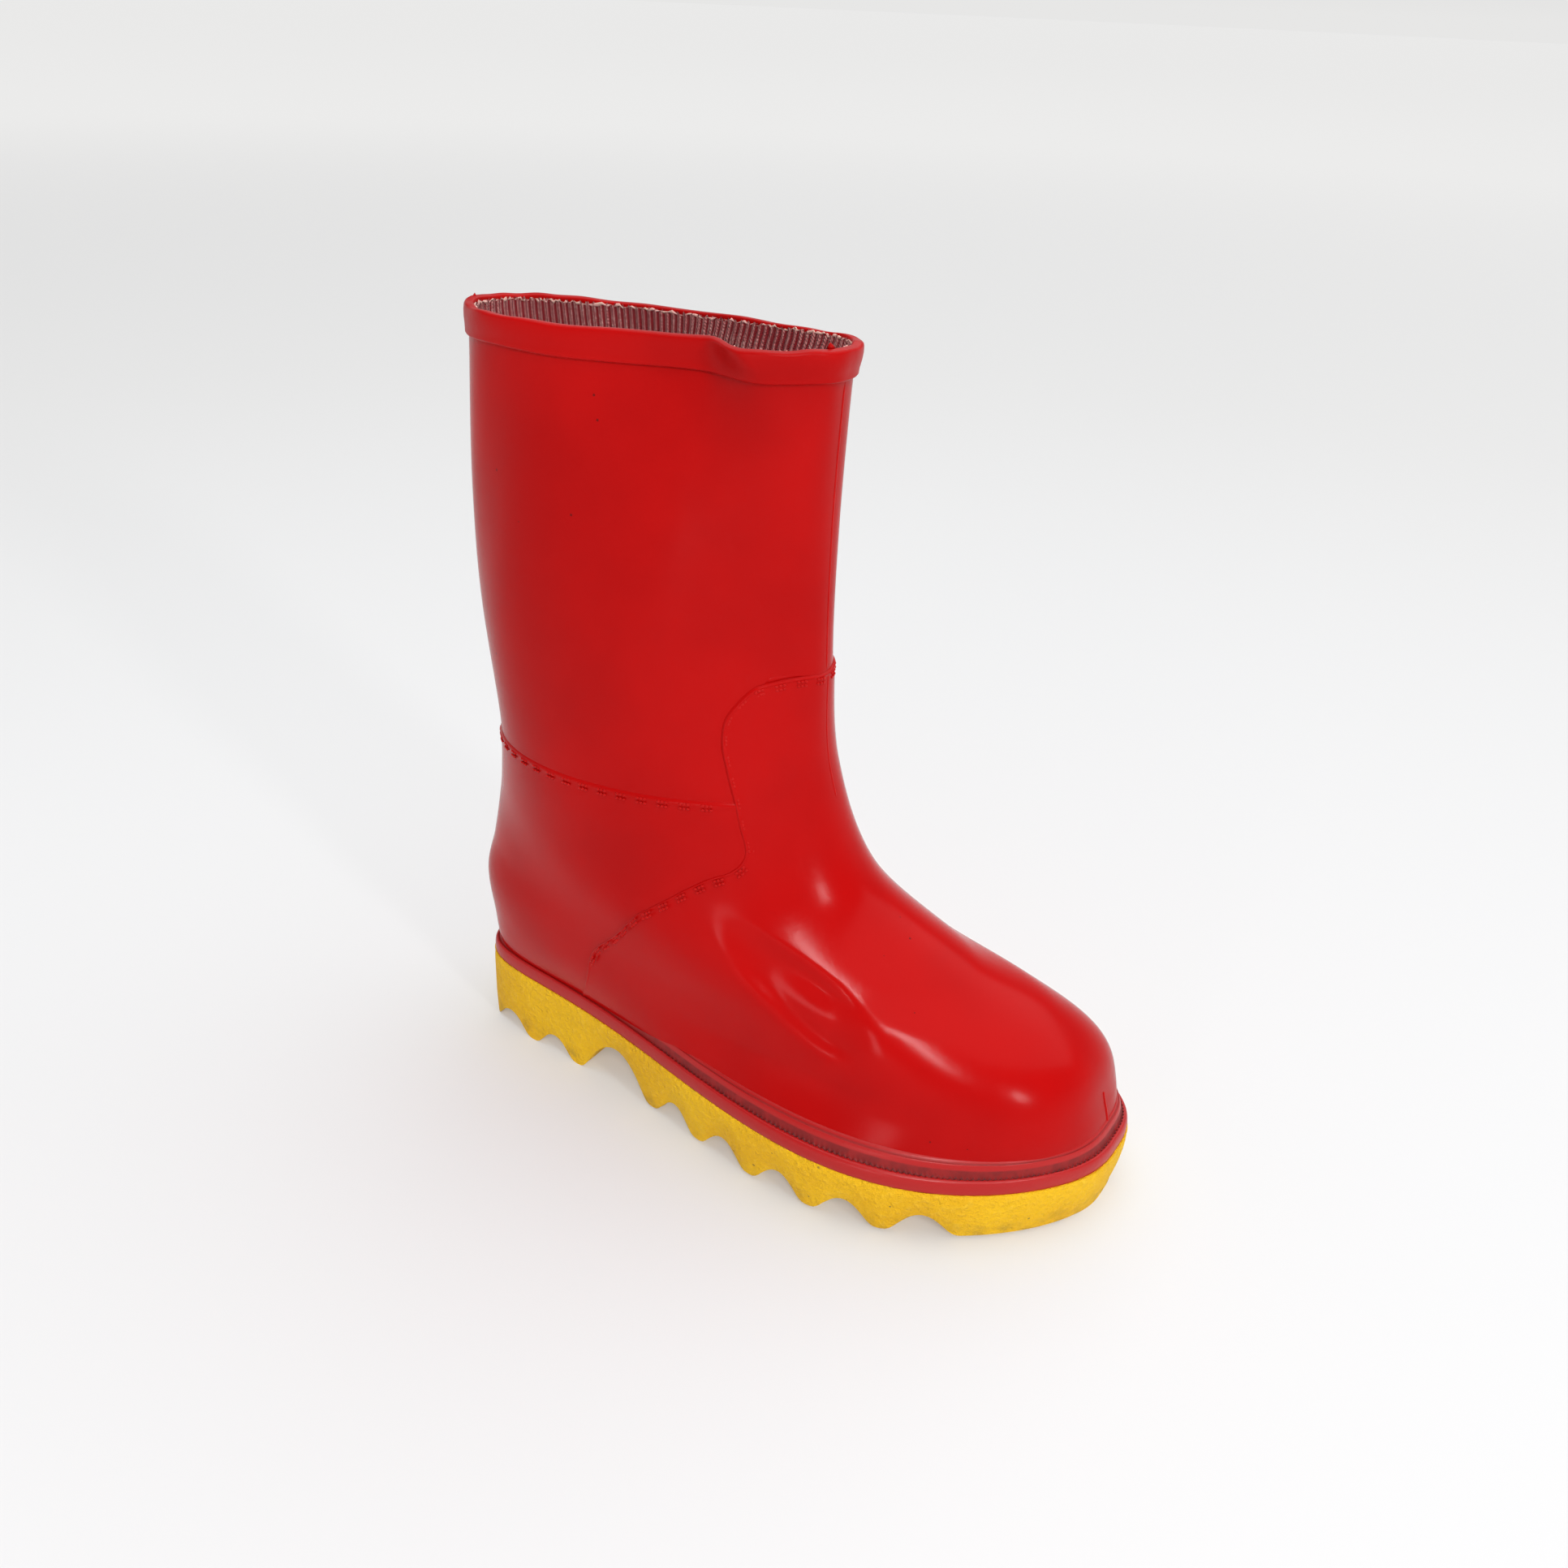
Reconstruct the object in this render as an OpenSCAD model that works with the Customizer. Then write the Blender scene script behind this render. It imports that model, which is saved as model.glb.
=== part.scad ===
// Child's rubber rain boot for the right foot: a red upper cemented up from panels over a
// knitted lining, a red welt and a cleated yellow outsole.
// +X points to the toe, +Z up, and the boot's outer side is -Y. The origin is on the ground,
// under the middle of the outsole.

/* [Outsole] */
// Length of the outsole from heel to toe
sole_len = 200; // [185:1:215]
// Thickness of the outsole at the back of the heel
heel_t = 23.5; // [21:0.5:26]
// Thickness of the outsole at the toe
toe_t = 15.5; // [14:0.5:18]
// How far the toe swings towards the inner side of the foot
toe_swing = 17.5; // [8:0.5:20]
// Depth of the tread grooves under the forefoot
groove_h = 7.5; // [5:0.5:9]
// Depth of the two grooves under the heel
heel_groove_h = 6; // [4:0.5:8]
// Height of the arch between the heel and the forefoot
breast_h = 13; // [9:0.5:14]

/* [Upper] */
// Height of the boot at the front of the rim
boot_h = 222.5; // [200:0.5:240]
// Thickness of the rubber wall
wall_t = 2.2; // [1.8:0.1:3]
// Height of the band round the rim
collar_h = 8.5; // [6:0.5:12]
// How far the band round the rim stands proud
collar_t = 1.5; // [1:0.1:2.5]
// How far the heel strip stands proud
backstay_t = 0.8; // [0.5:0.1:1.2]
// Height of the welt above the outsole
welt_h = 4.5; // [3.5:0.5:6]
// How far the soft shaft leans to the outer side at the rim
slump = 3; // [0:0.5:5]

/* [Inside] */
// Thickness of the knitted lining
lining_t = 1; // [0.8:0.1:1.4]
// Thickness of the insole board that closes the lasted upper
board_t = 1.6; // [1.2:0.1:2.4]
// Thickness of the loose foam footbed under its cloth
foam_t = 3.4; // [2.5:0.1:5]
// Thickness of the cloth on the footbed
cloth_t = 0.6; // [0.4:0.1:1]
// Depth of the light core let into the heel of the outsole
core_h = 7; // [4:0.5:8]

/* [Hidden] */

RED = [0.74, 0.05, 0.06];
DARK_RED = [0.66, 0.04, 0.05];
YELLOW = [0.98, 0.78, 0.05];
KNIT = [0.62, 0.32, 0.33];
FOAM = [0.80, 0.78, 0.74];

half = sole_len / 2;
kx = sole_len / 200;
kz = boot_h / 222.5;
LEAN = (toe_t - heel_t) / sole_len;   // slope of the top of the outsole
EPS = 0.01;

// Height of the outsole's top at a place along the boot.
function sole_z(x) = (heel_t + toe_t) / 2 + LEAN * x;

// The upper is a stack of rings. Each lies in a plane that runs from a point on the heel line
// to a point on the toe line. A row gives those two points (x, z, x, z), then the half widths
// at the heel, the waist and the ball, then how square the ring is (2 is an ellipse).
RINGS = [for (r = [
    [-96,   0,  96,   0, 23,   25.5, 37.5, 2.7],
    [-99,  36,  94,  29, 27,   27.5, 38,   2.6],
    [-102, 52,  90,  41, 30,   29,   36,   2.4],
    [-100, 64,  78,  51, 30,   31,   32,   2.3],
    [-98,  76,  56,  61, 30,   32,   29,   2.2],
    [-95,  89,  26,  80, 30,   31,   28,   2.2],
    [-93.5, 106, 11.5, 111, 31, 31,  27,   2.2],
    [-98.5, 140, 8.5, 144, 29, 30,   25.5, 2.3],
    [-100, 175, 8.5, 177, 25,  26.5, 23.5, 2.4],
    [-99.5, 208.5, 10.5, 210.5, 20.5, 22, 20.5, 2.5],
    [-98,  220.5, 12.5, 222.5, 19, 20.5, 19.5, 2.6]
]) [r[0] * kx, r[1] == 0 ? sole_z(r[0] * kx) : r[1] * kz,
    r[2] * kx, r[3] == 0 ? sole_z(r[2] * kx) : r[3] * kz, r[4], r[5], r[6], r[7]]];
TOP = len(RINGS) - 1;

function spow(a, p) = sign(a) * pow(abs(a), p);
function spline(a, b, c, d, u) =
    0.5 * (2 * b + (c - a) * u + (2 * a - 5 * b + 4 * c - d) * u * u
           + (3 * b - a - 3 * c + d) * u * u * u);

// The ring at a level v, from 0 on the outsole to TOP at the rim.
function ring(v) = let (
    i = max(0, min(floor(v), TOP - 1)), b = RINGS[i], c = RINGS[i + 1],
    a = i == 0 ? 2 * b - c : RINGS[i - 1],
    d = i == TOP - 1 ? 2 * c - b : RINGS[i + 2]
) spline(a, b, c, d, v - i);

// How far the boot's centre line lies to the inner side at a place along it and at a level.
function swing(x) = toe_swing * pow(max(0, min(1, (x + 20 * kx) / (120 * kx))), 2);
function lean(v) = slump * pow(max(0, v - 6) / 4, 2);

// A point on the upper: phi is 0 at the front and -90 on the outer side, out moves the
// surface outwards by its normal.
function skin_point(phi, v, out = 0) = let (
    r = ring(v), step = ring(v + 0.05) - ring(v - 0.05),
    nb = [-step[1], step[0]] / norm([step[0], step[1]]),
    nf = [step[3], -step[2]] / norm([step[2], step[3]]),
    back = [r[0], r[1]] + out * nb, front = [r[2], r[3]] + out * nf,
    s = (1 + spow(cos(phi), 2 / r[7])) / 2, q = (s - 0.5) / 0.34,
    w = r[5] + (r[6] - r[4]) / 2 * q + ((r[6] + r[4]) / 2 - r[5]) * q * q + out,
    p = back + (front - back) * s
) [p[0], spow(sin(phi), 2 / r[7]) * w + swing(p[0]) - lean(v), v == 0 ? sole_z(p[0]) : p[1]];

// The outline of the outsole, with its half widths at four places from heel to toe.
KNOTS = [0.12, 0.4, 0.66, 0.88];
OUTER_W = [24, 30, 41.8, 41.5];
INNER_W = [29, 28, 41.8, 41.5];
function through(s, w) = w * [for (i = [0:3])
    [for (k = 0, p = 1; k <= 4;
        p = (k < 4 && k != i) ? p * (s - KNOTS[k]) / (KNOTS[i] - KNOTS[k]) : p, k = k + 1)
        if (k == 4) p][0]];
SQUARE = 3.1;
function outline(phi, inset = 0) = let (
    s = (1 + spow(cos(phi), 2 / SQUARE)) / 2, x = -half + inset + (sole_len - 2 * inset) * s,
    w = through(s, sin(phi) < 0 ? OUTER_W : INNER_W) - inset
) [x, spow(sin(phi), 2 / SQUARE) * w + swing(x)];

// Everything is moved sideways so that the origin is under the middle of the outsole.
SWEEP = [for (a = [-180:3:177]) outline(a)];
MID_Y = (max([for (p = SWEEP) p[1]]) + min([for (p = SWEEP) p[1]])) / 2;
module centred() translate([0, -MID_Y, 0]) children();

// A closed solid through a list of equal loops. Its ends are closed by strips across the
// loop, or the last loop joins the first.
module loft(loops, joined = false) {
    n = len(loops[0]);
    m = len(loops);
    last = joined ? m - 1 : m - 2;
    sides = [for (j = [0:last], i = [0:n - 1]) let (
            a = j * n + i, b = j * n + (i + 1) % n,
            c = ((j + 1) % m) * n + (i + 1) % n, d = ((j + 1) % m) * n + i)
        each [[a, b, c], [a, c, d]]];
    caps = joined ? [] : [for (k = [0:n / 2 - 2]) let (
            a = k, b = k + 1, c = n - 2 - k, d = n - 1 - k, e = (m - 1) * n)
        each [[a, c, b], [a, d, c], [e + a, e + b, e + c], [e + a, e + c, e + d]]];
    polyhedron(
        points = [for (loop = loops) each loop],
        faces = [for (f = concat(sides, caps)) if (f[0] != f[1] && f[1] != f[2]) f]);
}

// One wall panel: at each angle it runs from level lo to level hi, between two offsets.
function wall_loop(phi, lo, hi, rows, far, near) = concat(
    [for (k = [0:rows]) skin_point(phi, lo + (hi - lo) * k / rows, far)],
    [for (k = [rows:-1:0]) skin_point(phi, lo + (hi - lo) * k / rows, near)]);

// The vamp's edge on the outer side, from the middle of the throat, round its shoulder, down
// the side of the ankle and back to the welt: angle from the front and level.
VAMP_EDGE = [[0, 6.88], [20, 6.9], [34, 6.88], [41, 6.82], [46, 6.68], [48, 6.5], [50, 5.95],
             [52, 5.45], [58, 5.22], [68, 5.05], [79, 4.75], [90, 4.3], [99, 3.6], [107, 2.5],
             [112, 1.7], [116, 0.02]];
EDGE_END = 116;                            // angle where the vamp's edge meets the welt
QUARTER_LEVEL = 5.92;
QUARTER_MEET = 50;
function vamp_level(phi) = lookup(abs(phi), VAMP_EDGE);
function panel_level(phi) = abs(phi) < QUARTER_MEET ? vamp_level(phi)
    : max(QUARTER_LEVEL, vamp_level(phi));

STAY = 6;                                  // half angle of the heel strip
HALF_ANGLES = [0, 7, 14, 20, 27, 34, 41, 46, 48, 50, 52, 58, 63, 68, 74, 79, 85, 90, 95, 99, 103,
               107, 112, EDGE_END, 122, 129, 136, 143, 150, 157, 163, 169, 180 - STAY];
ALL_ANGLES = concat([for (k = [len(HALF_ANGLES) - 1:-1:1]) -HALF_ANGLES[k]], HALF_ANGLES, [180]);
VAMP_ANGLES = [for (a = ALL_ANGLES) if (abs(a) <= EDGE_END) a];
QUARTER_ANGLES = [for (a = HALF_ANGLES) if (a >= QUARTER_MEET) a];

module outsole() color(YELLOW) centred() difference() {
    intersection() {
        linear_extrude(height = heel_t + 5) polygon(SWEEP);
        rotate([90, 0, 0]) linear_extrude(height = 2 * half, center = true)
            polygon(concat([[-half - 5, sole_z(-half - 5)]], tread(), [[half + 5, sole_z(half + 5)]]));
    }
    heel_core_block(heel_t);
}

// The tread from heel to toe: flat tips with a rounded arch between each pair.
TIPS = [-97, -77, -58, -27, -7.5, 13, 33.5, 54.5, 75] * kx;
TIP_W = 1.4;                               // half width of a tip's flat
ARCH_STEPS = 10;
function depth(i) = i == 2 ? breast_h : i < 2 ? heel_groove_h : groove_h;
function tread() = concat([[-half - 5, 0]],
    [for (i = [0:len(TIPS) - 2], k = [0:ARCH_STEPS]) let (
            a = TIPS[i] + TIP_W, b = TIPS[i + 1] - TIP_W, t = k / ARCH_STEPS)
        [a + (b - a) * t, depth(i) * pow(sin(180 * t), 0.85)]],
    [[half + 5, 0]]);

// The light core stands in a pocket that is open to the top of the outsole.
CORE_R = 14;
CORE_TOP = heel_t - 2;
module heel_core_block(h) translate([-70 * kx, 1, CORE_TOP - core_h])
    cylinder(r = CORE_R, h = h, $fn = 64);
module heel_core() color(FOAM) centred() heel_core_block(core_h);

WELT_IN = 0.6;                             // the welt stops this far inside the outline
GLUE = 0.15;                               // between the welt and the upper
function welt_loop(phi) = let (
    off = GLUE + (abs(phi) > 170 ? backstay_t : 0),
    low = skin_point(phi, 0, off), high = skin_point(phi, 0.3, off),
    o = outline(phi, WELT_IN), rim = outline(phi, WELT_IN + 0.5), z = sole_z(o[0]))
    [low, [o[0], o[1], z], [o[0], o[1], z + welt_h * 0.55], [rim[0], rim[1], z + welt_h * 0.8], high];
module welt_strip() color(DARK_RED) centred()
    loft([for (a = [-180:4:176]) welt_loop(a)], joined = true);

function flat_ring(v, out) = [for (a = ALL_ANGLES) skin_point(a, v, out)];
function plate_ring(out, lift) = [for (p = flat_ring(0, out)) p + [0, 0, lift]];

BOARD_GAP = 0.5;
module insole_board() color(FOAM) centred() loft([
    plate_ring(-wall_t - BOARD_GAP, 0), plate_ring(-wall_t - BOARD_GAP, board_t)]);

// The lining is a sock: its outer skin from the sole to the rim, then its inner skin back down.
LINING_OUT = -wall_t - 0.5;
LINING_IN = LINING_OUT - lining_t;
LINING_LIFT = board_t + 0.2;
SOCK_LEVELS = [for (v = [0.4:0.4:TOP + EPS]) v];
SOCK_ROWS = len(SOCK_LEVELS);
module lining() color(KNIT) centred() loft(concat(
    [plate_ring(LINING_OUT, LINING_LIFT)],
    [for (v = SOCK_LEVELS) flat_ring(v, LINING_OUT)],
    [for (k = [SOCK_ROWS - 1:-1:0]) flat_ring(SOCK_LEVELS[k], LINING_IN)],
    [plate_ring(LINING_IN, LINING_LIFT + lining_t)]));

module vamp() color(RED) centred()
    loft([for (a = VAMP_ANGLES) wall_loop(a, 0, vamp_level(a), 16, 0, -wall_t)]);

module leg() color(RED) centred()
    loft([for (a = ALL_ANGLES) wall_loop(a, panel_level(a), TOP, 14, 0, -wall_t)], joined = true);

module quarter(side) loft([for (a = QUARTER_ANGLES)
    let (low = a > EDGE_END ? 0 : vamp_level(a))
    wall_loop(side * a, low, max(QUARTER_LEVEL, low + 0.02), 12, 0, -wall_t)]);
module quarter_outer() color(RED) centred() quarter(-1);
module quarter_inner() color(RED) centred() quarter(1);

module backstay() color(DARK_RED) centred()
    loft([for (a = [180 - STAY, 180, 180 + STAY])
        wall_loop(a, 0, QUARTER_LEVEL, 12, backstay_t, -wall_t)]);

COLLAR_LOW = TOP - collar_h / (RINGS[TOP][1] - RINGS[TOP - 1][1]);
module collar_band() color(DARK_RED) centred()
    loft([for (a = ALL_ANGLES)
        wall_loop(a, COLLAR_LOW, TOP, 2, collar_t, 2 * GLUE)], joined = true);

// The footbed is a little smaller than the lining and lies on its sole.
FOOTBED_OUT = LINING_IN - 2.6;
FOOTBED_GAP = 0.3;
FOOTBED_LIFT = LINING_LIFT + lining_t + FOOTBED_GAP;
module footbed_layer(low, high) loft([
    plate_ring(FOOTBED_OUT, FOOTBED_LIFT + low), plate_ring(FOOTBED_OUT, FOOTBED_LIFT + high)]);
module footbed_foam() color(FOAM) centred() footbed_layer(0, foam_t);
module footbed_cloth() color(KNIT) centred() footbed_layer(foam_t, foam_t + cloth_t);

outsole();
heel_core();
welt_strip();
insole_board();
lining();
vamp();
leg();
quarter_outer();
quarter_inner();
backstay();
collar_band();
footbed_foam();
footbed_cloth();
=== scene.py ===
"""A child's rubber rain boot, dressed over its CAD frame.

The boot's form is a stack of rings round a foot, the same one as the CAD part's. Each class below
builds one sub-assembly on that form and gives it its finish: the outsole, the welt, the upper's
panels with their seams, the collar, the knitted lining, and the loose footbed.
"""

import itertools
import logging
import math
from dataclasses import dataclass
from enum import Enum
from typing import Callable, Sequence

import bpy
import numpy as np
from mathutils import Matrix, Vector


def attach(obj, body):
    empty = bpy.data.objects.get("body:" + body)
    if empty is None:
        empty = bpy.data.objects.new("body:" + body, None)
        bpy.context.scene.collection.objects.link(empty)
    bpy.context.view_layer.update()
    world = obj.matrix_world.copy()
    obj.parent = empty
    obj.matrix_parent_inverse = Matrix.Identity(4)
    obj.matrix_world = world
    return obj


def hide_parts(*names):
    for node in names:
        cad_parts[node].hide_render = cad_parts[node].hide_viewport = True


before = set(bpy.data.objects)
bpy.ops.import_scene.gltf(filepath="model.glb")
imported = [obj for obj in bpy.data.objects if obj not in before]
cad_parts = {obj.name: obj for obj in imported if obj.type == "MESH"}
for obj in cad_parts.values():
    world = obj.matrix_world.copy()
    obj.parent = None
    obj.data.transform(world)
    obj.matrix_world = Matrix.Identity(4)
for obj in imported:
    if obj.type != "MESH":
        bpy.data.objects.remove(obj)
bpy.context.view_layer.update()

LOG = logging.getLogger("boot")
MM = 0.001
KNIT_RIBS = 132
WELT_TEETH = 310
Place = Callable[[np.ndarray, np.ndarray], np.ndarray]


class Body(Enum):
    """The CAD bodies that pieces ride on."""

    BOOT = "boot"
    FOOTBED = "footbed"


class Side(Enum):
    """The two sides of the boot, by the sign of their angle."""

    OUTER = -1
    INNER = 1


def smooth(t: np.ndarray) -> np.ndarray:
    """Eases from 0 to 1 as t goes from 0 to 1."""
    t = np.clip(t, 0.0, 1.0)
    return t * t * (3.0 - 2.0 * t)


def signed_power(a: np.ndarray, p: np.ndarray) -> np.ndarray:
    """Raises the size of a to the power p and keeps its sign."""
    return np.sign(a) * np.abs(a) ** p


def through(a: np.ndarray, b: np.ndarray, c: np.ndarray, d: np.ndarray,
            u: np.ndarray) -> np.ndarray:
    """The smooth curve from b to c as u goes from 0 to 1, with a before b and d after c."""
    bend = (2 * a - 5 * b + 4 * c - d) * u * u + (3 * b - a - 3 * c + d) * u ** 3
    return 0.5 * (2 * b + (c - a) * u + bend)


def run_along(points: np.ndarray) -> np.ndarray:
    """The distance along a line of points from its first to each of them."""
    steps = np.linalg.norm(np.diff(points, axis=0), axis=1)
    return np.concatenate([[0.0], np.cumsum(steps)])


class Last:
    """The form of the boot in millimetres: rings from the outsole to the rim."""

    RINGS = np.array([
        [-96.0, 23.34, 96.0, 15.66, 23.0, 25.5, 37.5, 2.7],
        [-99.0, 36.0, 94.0, 29.0, 27.0, 27.5, 38.0, 2.6],
        [-102.0, 52.0, 90.0, 41.0, 30.0, 29.0, 36.0, 2.4],
        [-100.0, 64.0, 78.0, 51.0, 30.0, 31.0, 32.0, 2.3],
        [-98.0, 76.0, 56.0, 61.0, 30.0, 32.0, 29.0, 2.2],
        [-95.0, 89.0, 26.0, 80.0, 30.0, 31.0, 28.0, 2.2],
        [-93.5, 106.0, 11.5, 111.0, 31.0, 31.0, 27.0, 2.2],
        [-98.5, 140.0, 8.5, 144.0, 29.0, 30.0, 25.5, 2.3],
        [-100.0, 175.0, 8.5, 177.0, 25.0, 26.5, 23.5, 2.4],
        [-99.5, 208.5, 10.5, 210.5, 20.5, 22.0, 20.5, 2.5],
        [-98.0, 220.5, 12.5, 222.5, 19.0, 20.5, 19.5, 2.6],
    ])
    TOP = 10.0
    RIM_STEP = 12.0
    HALF = 100.0
    TOE_SWING = 17.5
    SLUMP = 3.0
    SQUARE = 3.1
    WELT_WIDTH = 4.2
    FOOT_BLEND = 1.5
    TUCK = 0.9
    TUCK_LEVEL = 0.55
    DENT_DEPTH = 8.5
    DENT_SHOULDER = 2.0
    DENT_FAR = 3.0
    CREASE_PHI = 63.0
    CREASE_LEVEL = 3.2
    CREASE_REACH = (12.0, 1.2)
    CREASE_DEPTH = 2.1
    CREASE_INNER_SHARE = 0.4
    KNOTS = (0.12, 0.4, 0.66, 0.88)
    OUTER_W = (24.0, 30.0, 41.8, 41.5)
    INNER_W = (29.0, 28.0, 41.8, 41.5)

    def __init__(self) -> None:
        """Finds how far the boot is moved sideways to centre its outsole."""
        self.middle = 0.0
        across = self.outline(np.arange(-180.0, 180.0, 3.0))[:, 1]
        self.middle = float(across.max() + across.min()) / 2.0

    @staticmethod
    def sole_height(x: np.ndarray) -> np.ndarray:
        """The height of the outsole's top at a place along the boot."""
        return 19.5 - 0.04 * x

    def swing(self, x: np.ndarray) -> np.ndarray:
        """How far the centre line lies to the inner side at a place along the boot."""
        return self.TOE_SWING * np.clip((x + 20.0) / 120.0, 0.0, 1.0) ** 2 - self.middle

    def ring(self, level: np.ndarray) -> np.ndarray:
        """The ring's eight numbers at each level, by a smooth curve through the rings."""
        first, last = 2 * self.RINGS[0] - self.RINGS[1], 2 * self.RINGS[-1] - self.RINGS[-2]
        rows = np.vstack([first, self.RINGS, last])
        i = np.clip(np.floor(level).astype(int), 0, int(self.TOP) - 1)
        a, b, c, d = rows[i], rows[i + 1], rows[i + 2], rows[i + 3]
        return through(a, b, c, d, (level - i)[..., None])

    def dent(self, x: np.ndarray, sine: np.ndarray, level: np.ndarray) -> np.ndarray:
        """How far the slumped shaft's sides are pushed to the inner side near the rim."""
        fade = smooth((level - 6.6) / 3.4)
        kink = 15.0 + 8.0 * (self.TOP - level)
        hollow = smooth((x + 76.0) / 52.0) * (1.0 - smooth((x + 21.0) / kink))
        hollow = self.DENT_DEPTH * hollow
        shoulder = self.DENT_SHOULDER * np.exp(-((x + 84.0) / 14.0) ** 2)
        far = -self.DENT_FAR * smooth((x + 98.0) / 30.0) * (1.0 - smooth((x + 25.0) / 30.0))
        reach = np.clip(np.abs(sine) * 2.2, 0.0, 1.0)
        return fade * reach * np.where(sine < 0, hollow - shoulder, far)

    def ripple(self, phi: np.ndarray, level: np.ndarray) -> np.ndarray:
        """The gentle waves that a soft wall stands in."""
        a = np.radians(phi)
        soft = smooth((level - 5.5) / 2.0)
        waves = 0.28 * np.sin(5 * a + 1.1 * level) + 0.2 * np.sin(9 * a - 1.7 * level + 1.0)
        return soft * waves

    def crease(self, phi: np.ndarray, level: np.ndarray) -> np.ndarray:
        """The creased hollow on each side of the vamp below the ankle."""
        along = (np.abs(phi) - self.CREASE_PHI) / self.CREASE_REACH[0]
        up = (level - self.CREASE_LEVEL) / self.CREASE_REACH[1]
        inside = 1.0 - smooth((np.hypot(along, up) - 0.70) / 0.60)
        fade = smooth(1.1 * along + 0.9 * up + 0.9)
        side = np.where(phi < 0, 1.0, self.CREASE_INNER_SHARE)
        return -self.CREASE_DEPTH * inside * fade * side

    def skin(self, phi: np.ndarray, level: np.ndarray, out: np.ndarray) -> np.ndarray:
        """Points on the upper, whose foot follows the outsole's outline.

        Args:
            phi: angle in degrees, 0 at the front and negative on the outer side.
            level: 0 on the outsole to TOP at the rim.
            out: how far the point stands off the upper's face.

        Returns:
            One row of x, y, z for each point, in millimetres.
        """
        phi, level, out = np.broadcast_arrays(phi, level, out)
        points = self.bare_skin(phi, level, out)
        foot = self.bare_skin(phi, np.zeros_like(phi, float), np.zeros_like(phi, float))
        share = 1.0 - smooth(level / self.FOOT_BLEND)
        shift = (self.outline(phi, self.WELT_WIDTH) - foot[:, :2]) * share[:, None]
        points[:, :2] += shift
        points[:, 2] = np.where(level <= 0.0, self.sole_height(points[:, 0]), points[:, 2])
        return points

    def bare_skin(self, phi: np.ndarray, level: np.ndarray, out: np.ndarray) -> np.ndarray:
        """Points on the upper as the rings alone give them."""
        r, step = self.ring(level), self.ring(level + 0.05) - self.ring(level - 0.05)
        tuck = self.TUCK * np.clip(1.0 - level / self.TUCK_LEVEL, 0.0, 1.0) ** 2
        out = out + self.ripple(phi, level) + self.crease(phi, level) - tuck
        back_len, front_len = np.hypot(step[:, 0], step[:, 1]), np.hypot(step[:, 2], step[:, 3])
        back = np.stack([r[:, 0] - out * step[:, 1] / back_len,
                         r[:, 1] + out * step[:, 0] / back_len], -1)
        front = np.stack([r[:, 2] + out * step[:, 3] / front_len,
                          r[:, 3] - out * step[:, 2] / front_len], -1)
        power = 2.0 / r[:, 7]
        sine, cosine = np.sin(np.radians(phi)), np.cos(np.radians(phi))
        s = (1.0 + signed_power(cosine, power)) / 2.0
        q = (s - 0.5) / 0.34
        w = r[:, 5] + (r[:, 6] - r[:, 4]) / 2 * q + ((r[:, 6] + r[:, 4]) / 2 - r[:, 5]) * q * q
        p = back + (front - back) * s[:, None]
        lean = self.SLUMP * (np.maximum(level - 6.0, 0.0) / 4.0) ** 2
        y = signed_power(sine, power) * (w + out) + self.swing(p[:, 0]) - lean
        y = y + self.dent(p[:, 0], sine, level)
        return np.stack([p[:, 0], y, p[:, 1]], -1)

    def outline(self, phi: np.ndarray, inset: np.ndarray | float = 0.0) -> np.ndarray:
        """The outsole's outline as rows of x and y, moved in by an inset."""
        power = 2.0 / self.SQUARE
        sine, cosine = np.sin(np.radians(phi)), np.cos(np.radians(phi))
        s = (1.0 + signed_power(cosine, power)) / 2.0
        x = -self.HALF + inset + (2 * self.HALF - 2 * inset) * s
        outer, inner = (np.zeros_like(s) for _ in range(2))
        for i, knot in enumerate(self.KNOTS):
            weight = np.ones_like(s)
            for other in self.KNOTS:
                if other != knot:
                    weight = weight * (s - other) / (knot - other)
            outer, inner = outer + weight * self.OUTER_W[i], inner + weight * self.INNER_W[i]
        w = np.where(sine < 0, outer, inner) - inset
        return np.stack([x, signed_power(sine, power) * w + self.swing(x)], -1)


LAST = Last()


# ---------------------------------------------------------------- shader building


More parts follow.
